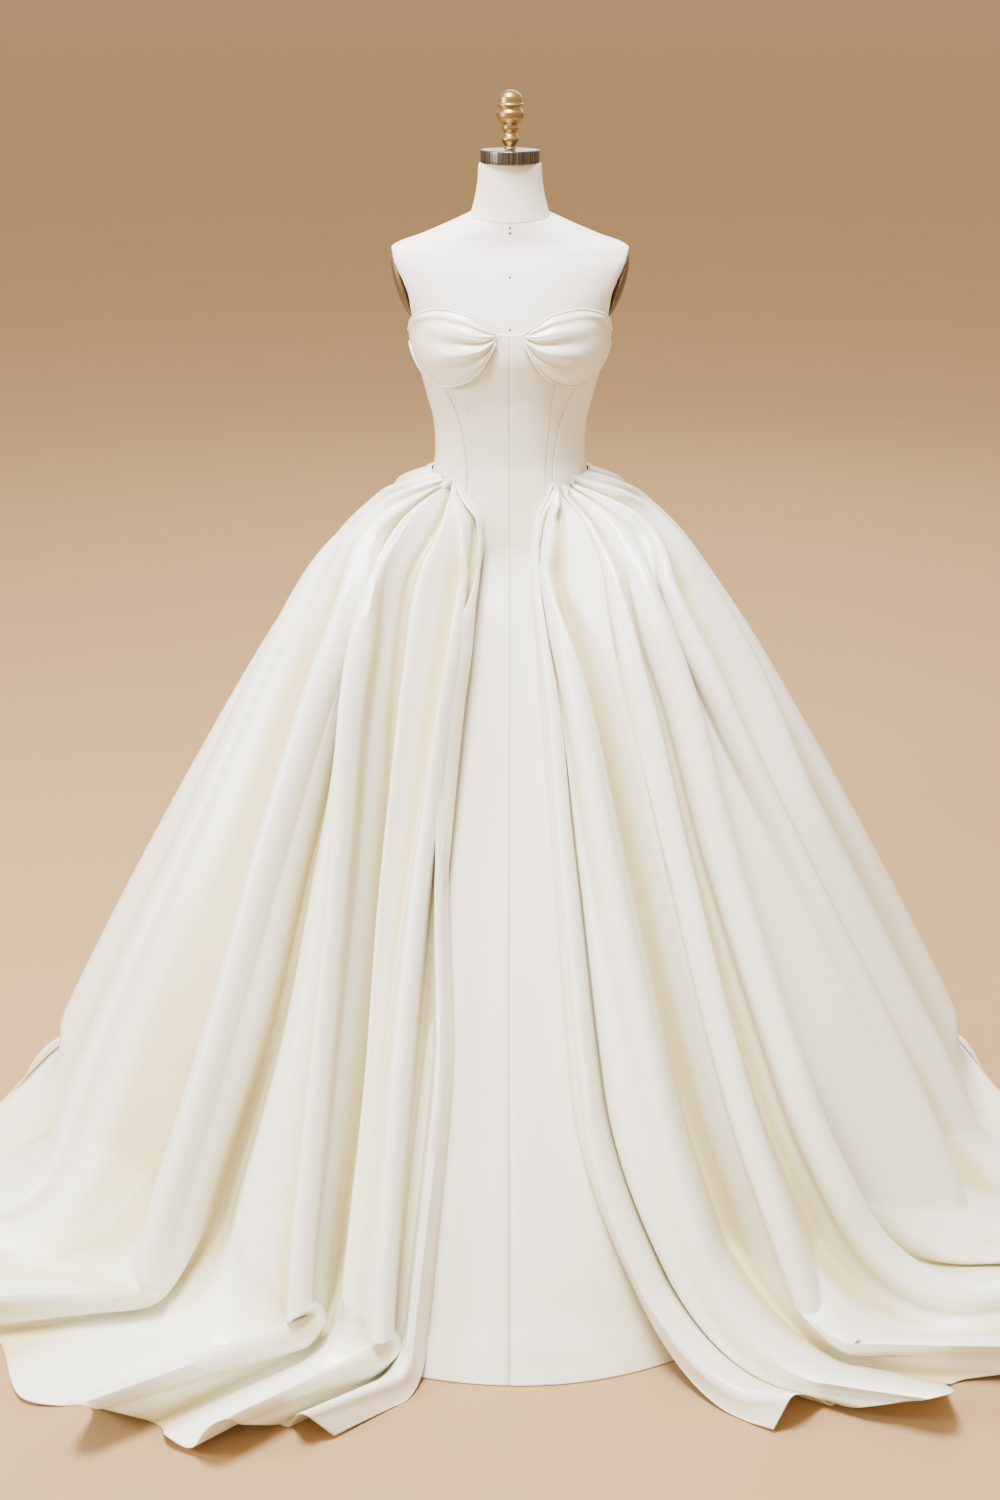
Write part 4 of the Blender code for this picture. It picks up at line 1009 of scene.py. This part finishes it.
class GOWN_OT_stage(bpy.types.Operator):
    """Lay the floor, hang the lights and set the camera"""
    bl_idname = "gown.stage"
    bl_label = "Studio"

    def execute(self, context):
        look = context.scene.studio_look
        bm = bmesh.new()
        bmesh.ops.create_circle(bm, cap_ends=True, segments=64, radius=FLOOR_RADIUS)
        bmesh.ops.translate(bm, verts=bm.verts, vec=(0.0, 0.0, -0.0004))
        mesh = bpy.data.meshes.new("floor")
        bm.to_mesh(mesh)
        bm.free()
        mesh.materials.append(floor_finish(look))
        floor = bpy.data.objects.new("floor", mesh)
        context.scene.collection.objects.link(floor)

        lights = (("key", (-0.7, -1.3, 5.4), 1.5, look.key_power),
                  ("side", (-3.6, -1.8, 2.4), 0.9, look.side_power),
                  ("back", (1.0, 4.2, 3.2), 2.6, look.back_power))
        middle = Vector((0.0, 0.0, 0.75))
        for name, place, size, power in lights:
            light = bpy.data.lights.new(name, "AREA")
            light.size = size
            light.energy = power
            lamp = bpy.data.objects.new(name, light)
            lamp.location = place
            lamp.rotation_euler = (middle - Vector(place)).to_track_quat("-Z", "Y").to_euler()
            context.scene.collection.objects.link(lamp)
        world = bpy.data.worlds.new("room")
        world.use_nodes = True
        world.node_tree.nodes["Background"].inputs["Color"].default_value = opaque(look.air_colour)
        world.node_tree.nodes["Background"].inputs["Strength"].default_value = look.air
        context.scene.world = world

        camera = bpy.data.cameras.new("camera")
        camera.sensor_width = 36.0
        camera.lens = 45.77
        camera.shift_x = -0.0067
        camera.shift_y = -0.218
        view = bpy.data.objects.new("camera", camera)
        view.location = (0.0, -3.2, 1.986)
        view.rotation_euler = (math.radians(77.0), 0.0, 0.0)
        context.scene.collection.objects.link(view)
        context.scene.camera = view
        return {"FINISHED"}


class GOWN_OT_form(bpy.types.Operator):
    """Build the dress form: torso, neck, cap, finial, arm plates, pins and stand"""
    bl_idname = "gown.form"
    bl_label = "Dress Form"

    def torso_points(self):
        """The torso ring by ring, with its top slanted and its shoulders cut flat."""
        heights = np.concatenate((np.linspace(TORSO_BOTTOM, ARM_PLANE_Z, 40),
                                  np.linspace(ARM_PLANE_Z, FORM_RINGS[-1].height, 56)[1:]))
        turn = np.linspace(0.0, 360.0, 145)
        angle = np.where(turn <= 180.0, turn, 360.0 - turn)[None, :]
        side = np.where(turn <= 180.0, 1.0, -1.0)[None, :]
        height = heights[:, None]
        points = polar(side, angle, form_radius(angle, height), height + 0.0 * angle)
        points[:, :, 2] += tilt(height) * points[:, :, 1]
        up = points[:, :, 2]
        cut_back = ARM_HOLLOW * smooth(1.0 - np.abs(up - ARM_HOLLOW_Z) / ARM_HOLLOW_HALF)
        plane = ARM_PLANE_X + ARM_PLANE_SLOPE * (up - ARM_PLANE_Z) - cut_back
        plane = np.where(height > ARM_PLANE_Z, plane, 1.0)
        points[:, :, 0] = np.clip(points[:, :, 0], -plane, plane)
        return points

    def execute(self, context):
        look = context.scene.form_look
        cover = linen(look)
        steel = brushed_steel(look)
        brass = form_brass(context)
        bronze = worn_metal("arm_plate_bronze_paint", look.bronze, 0.42, 0.55)

        bm = grid_mesh(self.torso_points(), closed=True)
        fill_ends(bm, 200)
        add_piece("torso_cover", bm, cover, ("form_torso",))

        base = FORM_RINGS[-1].height + SEAM
        scale = (NECK_TOP - base) / NECK_RINGS[-1].height
        rings = table(TurnPoint, (0.0, 0.0), (0.0655, 0.0), (0.0668, 0.0012),
                      *((ring.radius, ring.height * scale) for ring in NECK_RINGS[1:]),
                      (0.0, NECK_RINGS[-1].height * scale))
        neck = spun(rings, base, steps=6)
        for vert in neck.verts:
            part = (vert.co.z - base) / (NECK_TOP - base)
            vert.co.y *= 0.80
            vert.co.z += FORM_TILT * vert.co.y * (1.0 - part)
        add_piece("neck_cover", neck, cover, ("form_neck",))

        cap_base = NECK_TOP + SEAM
        bead = 0.0012
        cap = table(TurnPoint, (0.0, 0.0), (CAP_RADIUS - bead, 0.0), (CAP_RADIUS, bead),
                    (CAP_RADIUS, CAP_HEIGHT - 2.0 * bead),
                    (CAP_RADIUS - bead * 0.4, CAP_HEIGHT - bead * 0.5),
                    (CAP_RADIUS - bead * 1.6, CAP_HEIGHT),
                    (CAP_RADIUS - bead * 3.0, CAP_HEIGHT - bead * 0.6), (0.0, CAP_HEIGHT - bead * 0.6))
        add_piece("cap_streaked", spun(cap, cap_base, 128, 3), steel, ("neck_cap",))
        add_piece("finial_turned", spun(FINIAL, cap_base + CAP_HEIGHT + SEAM, 72, 6), brass, ("finial",))
        for node in ("pole", "floor_base"):
            repaint(node, steel)

        for label, side in SIDES:
            self.add_plate("arm_plate_dome_" + label, side, bronze, "arm_plate_" + label)
        dark = worn_metal("dark_brass", shaded(look.brass, 0.22), 0.5)
        for index, height in enumerate(PIN_HEIGHTS):
            pin = bmesh.new()
            bmesh.ops.create_icosphere(pin, subdivisions=3, radius=PIN_RADIUS)
            bmesh.ops.scale(pin, vec=(1.0, 0.6, 1.0), verts=pin.verts)
            front = float(form_radius(0.0, height - float(tilt(height)) * PIN_DEPTH))
            bmesh.ops.translate(pin, vec=(0.0, -front, height), verts=pin.verts)
            add_piece(f"cover_pin_{index + 1}", pin, dark, ())
        return {"FINISHED"}

    def add_plate(self, name, side, material, node):
        """A shallow oval dome over the flat end of the shoulder."""
        middle = 1.4880
        half_height, half_depth, thick, bulge = 0.0575, 0.0470, 0.0075, 0.0125
        gap, behind = 0.0008, 0.004
        bm = bmesh.new()
        bmesh.ops.create_uvsphere(bm, u_segments=64, v_segments=32, radius=1.0)
        for vert in bm.verts:
            vert.co.z *= bulge if vert.co.z > 0.0 else thick
        bmesh.ops.scale(bm, vec=(half_height, half_depth, 1.0), verts=bm.verts)
        slant = math.atan(ARM_PLANE_SLOPE)
        plane_x = ARM_PLANE_X + ARM_PLANE_SLOPE * (middle - ARM_PLANE_Z)
        turn = Matrix.Rotation(side * (math.radians(90) + slant), 4, "Y")
        bm.transform(Matrix.Translation((side * (plane_x + gap), behind, middle)) @ turn)
        add_piece(name, bm, material, (node,))


class GOWN_OT_bodice(bpy.types.Operator):
    """Sew the fitted bodice panels and the long centre front"""
    bl_idname = "gown.bodice"
    bl_label = "Bodice and Centre Front"

    def execute(self, context):
        look = context.scene.gown_look
        cloth = gown_satin(context)

        def seam(name):
            return lambda z: curve(SEAM_POINTS, name, z)

        def fixed(angle):
            return lambda z: angle + 0.0 * z

        def hem(angle):
            return curve(BODICE_HEM, "height", angle)

        def under_cup(angle):
            return curve(CUP_POINTS, "lower", angle) - 0.0010

        def neckline(angle):
            part = smooth((angle - SIDE_SEAM_ANGLE) / (180.0 - SIDE_SEAM_ANGLE))
            return BACK_NECKLINE_SIDE + (BACK_NECKLINE_CENTRE - BACK_NECKLINE_SIDE) * part

        def centre_back(z):
            return 180.0 - np.degrees((ZIP_WIDTH * 0.5 + SEAM) / bodice_radius(180.0, z))

        under, open_edge = (under_cup, hem), (neckline, hem)
        princess, side_front = seam("princess"), seam("side_front")
        side_seam, side_back = fixed(SIDE_SEAM_ANGLE), fixed(SIDE_BACK_ANGLE)
        panels = (
            ("side_front", 20, princess, side_front, under, (0.055, 0.22), 0.0048),
            ("side", 28, side_front, side_seam, under, (0.12, 0.23), 0.019),
            ("side_back", 28, side_seam, side_back, open_edge, (0.12, 0.27), 0.030),
            ("back", 28, side_back, centre_back, open_edge, (0.09, 0.26), 0.020),
        )
        for label, side in SIDES:
            for name, across, start, end, hems, flat, area in panels:
                edges = (lambda z, start=start: start(z) + BODICE_GAP,
                         lambda z, end=end: end(z) - BODICE_GAP)
                points = panel_points(side, edges, hems, across, 72)
                lay_cloth(f"bodice_{name}_satin_{label}", points, cloth, f"bodice_{name}_{label}",
                          look.thickness)
            points = front_points(side)
            inward = np.linspace(0.0, 1.0, points.shape[1])[None, :]
            # painted shade: the centre front darker towards its outer edges below the hips
            shade = 0.75 * smooth((inward - 0.35) / 0.5) * smooth((1.02 - points[:, :, 2]) / 0.3)
            lay_cloth(f"centre_front_satin_{label}", points, cloth, f"centre_front_{label}",
                      look.thickness, shade)
        return {"FINISHED"}


class GOWN_OT_cups(bpy.types.Operator):
    """Gather the cups and pipe their edges"""
    bl_idname = "gown.cups"
    bl_label = "Cups"

    def execute(self, context):
        look = context.scene.gown_look
        cloth = gown_satin(context)
        across = np.linspace(0.0, 1.0, 121) ** 1.25
        up = np.linspace(1.0, 0.0, 91)
        for label, side in SIDES:
            points = cup_surface(side, across[None, :], up[:, None])
            # painted shade: the satin darkened between the cup's gathers by how deep each point lies
            dip = depth_below(points.transpose(1, 0, 2), 8).T / CUP_SHADE_DEPTH
            lay_cloth("cup_gathered_" + label, points, cloth, "cup_" + label,
                      look.thickness, np.clip(0.1 + dip, 0.0, 1.0))
            edge = np.linspace(0.0, 1.0, 97)
            for name, height in (("lower", 0.0), ("upper", 1.0)):
                path = cup_surface(side, edge, np.full(edge.shape, height), 0.0002)
                outward = path * np.array((1.0, 1.0, 0.0))
                tube(f"cup_piping_{name}_{label}", path, look.piping, cloth, outward)
        return {"FINISHED"}


class GOWN_OT_skirt(bpy.types.Operator):
    """Pleat the skirt and run its train out over the floor"""
    bl_idname = "gown.skirt"
    bl_label = "Skirt"

    def execute(self, context):
        look = context.scene.gown_look
        cloth = gown_satin(context)
        for label, side in SIDES:
            own = LEFT_FOLDS if side < 0 else RIGHT_FOLDS
            folds = own + BACK_FOLDS
            seam = len(own) - 1
            creases = LEFT_CREASES if side < 0 else RIGHT_CREASES
            for crease in BACK_CREASES:
                creases += (crease._replace(top_place=seam + crease.top_place,
                                            low_place=seam + crease.low_place),)
            points, painted_shade = skirt_grid(side, folds, creases, look.crease)
            for name, first, last, flat, area in (("side", 0, seam, (2.30, 1.60), 1.60),
                                                  ("back", seam, len(folds) - 1, (1.45, 1.75), 1.30)):
                panel = skirt_panel(points, first, last)
                # painted shade between the folds, for this panel
                depth = painted_shade[:, first * FOLD_COLUMNS:last * FOLD_COLUMNS + 1]
                lay_cloth(f"skirt_{name}_satin_{label}", panel, cloth, f"skirt_{name}_{label}",
                          look.thickness, depth)
        return {"FINISHED"}


class GOWN_OT_zip(bpy.types.Operator):
    """Close the back with its zip: tape, teeth, slider and pull"""
    bl_idname = "gown.zip"
    bl_label = "Zip"

    def execute(self, context):
        cloth = gown_satin(context)
        brass = form_brass(context)
        heights = np.linspace(ZIP_TOP, ZIP_BOTTOM, 61)[:, None]
        across = np.linspace(-0.5, 0.5, 7)[None, :]
        radius = bodice_radius(180.0, heights) - SEAM - TAPE_GAP
        points = np.stack(np.broadcast_arrays(across * ZIP_WIDTH, radius, heights), axis=-1)
        lay_cloth("zip_tape_closed", points.copy(), cloth, "zip_tape",
                  TAPE_WALL)

        teeth = bmesh.new()
        for index in range(int((SLIDER_TOP - SLIDER_HEIGHT - ZIP_BOTTOM) / TOOTH_PITCH)):
            height = SLIDER_TOP - SLIDER_HEIGHT - index * TOOTH_PITCH
            side = -1.0 if index % 2 else 1.0
            radius = float(bodice_radius(180.0, height)) - SEAM - 0.0004
            made = bmesh.ops.create_cube(teeth, size=1.0)["verts"]
            bmesh.ops.scale(teeth, vec=TOOTH_SIZE, verts=made)
            bmesh.ops.translate(teeth, vec=(side * 0.0006, radius, height), verts=made)
        add_piece("zip_teeth", teeth, brass, (), smooth_faces=False)

        face = float(bodice_radius(180.0, SLIDER_TOP)) + SEAM + SLIDER_THICK
        repaint("zip_pull", brass)
        repaint("zip_slider", brass)
        middle = (0.0, face - SLIDER_THICK * 0.5, SLIDER_TOP - SLIDER_HEIGHT * 0.5)
        size = (SLIDER_WIDTH + 0.0004, SLIDER_THICK - 0.0006, SLIDER_HEIGHT + 0.0004)
        shell = rounded_block(size, middle, 0.0007)
        add_piece("slider_shell", shell, brass, ())
        return {"FINISHED"}


class GOWN_PT_panel(bpy.types.Panel):
    """Sizes, colours and the building steps"""
    bl_idname = "GOWN_PT_panel"
    bl_label = "Gown"
    bl_space_type = "VIEW_3D"
    bl_region_type = "UI"
    bl_category = "Gown"

    def draw(self, context):
        layout = self.layout
        layout.use_property_split = True
        for look, _ in LOOKS:
            settings = getattr(context.scene, look)
            box = layout.box()
            for name in settings.bl_rna.properties.keys():
                if name not in {"rna_type", "name"}:
                    box.prop(settings, name)
        for operator in OPERATORS:
            layout.operator(operator.bl_idname)


OPERATORS = (GOWN_OT_stage, GOWN_OT_form, GOWN_OT_bodice, GOWN_OT_cups, GOWN_OT_skirt, GOWN_OT_zip)
LOOKS = (("gown_look", GownLook), ("form_look", FormLook), ("studio_look", StudioLook))


def register():
    """Add the settings, the operators and the panel."""
    for name, group in LOOKS:
        bpy.utils.register_class(group)
        setattr(bpy.types.Scene, name, bpy.props.PointerProperty(type=group))
    for made in (*OPERATORS, GOWN_PT_panel):
        bpy.utils.register_class(made)


def unregister():
    for made in reversed((*OPERATORS, GOWN_PT_panel)):
        bpy.utils.unregister_class(made)
    for name, group in reversed(LOOKS):
        delattr(bpy.types.Scene, name)
        bpy.utils.unregister_class(group)


def main():
    """Build everything."""
    register()
    bpy.ops.gown.stage()
    bpy.ops.gown.form()
    bpy.ops.gown.bodice()
    bpy.ops.gown.cups()
    bpy.ops.gown.skirt()
    bpy.ops.gown.zip()


if __name__ == "__main__":
    main()
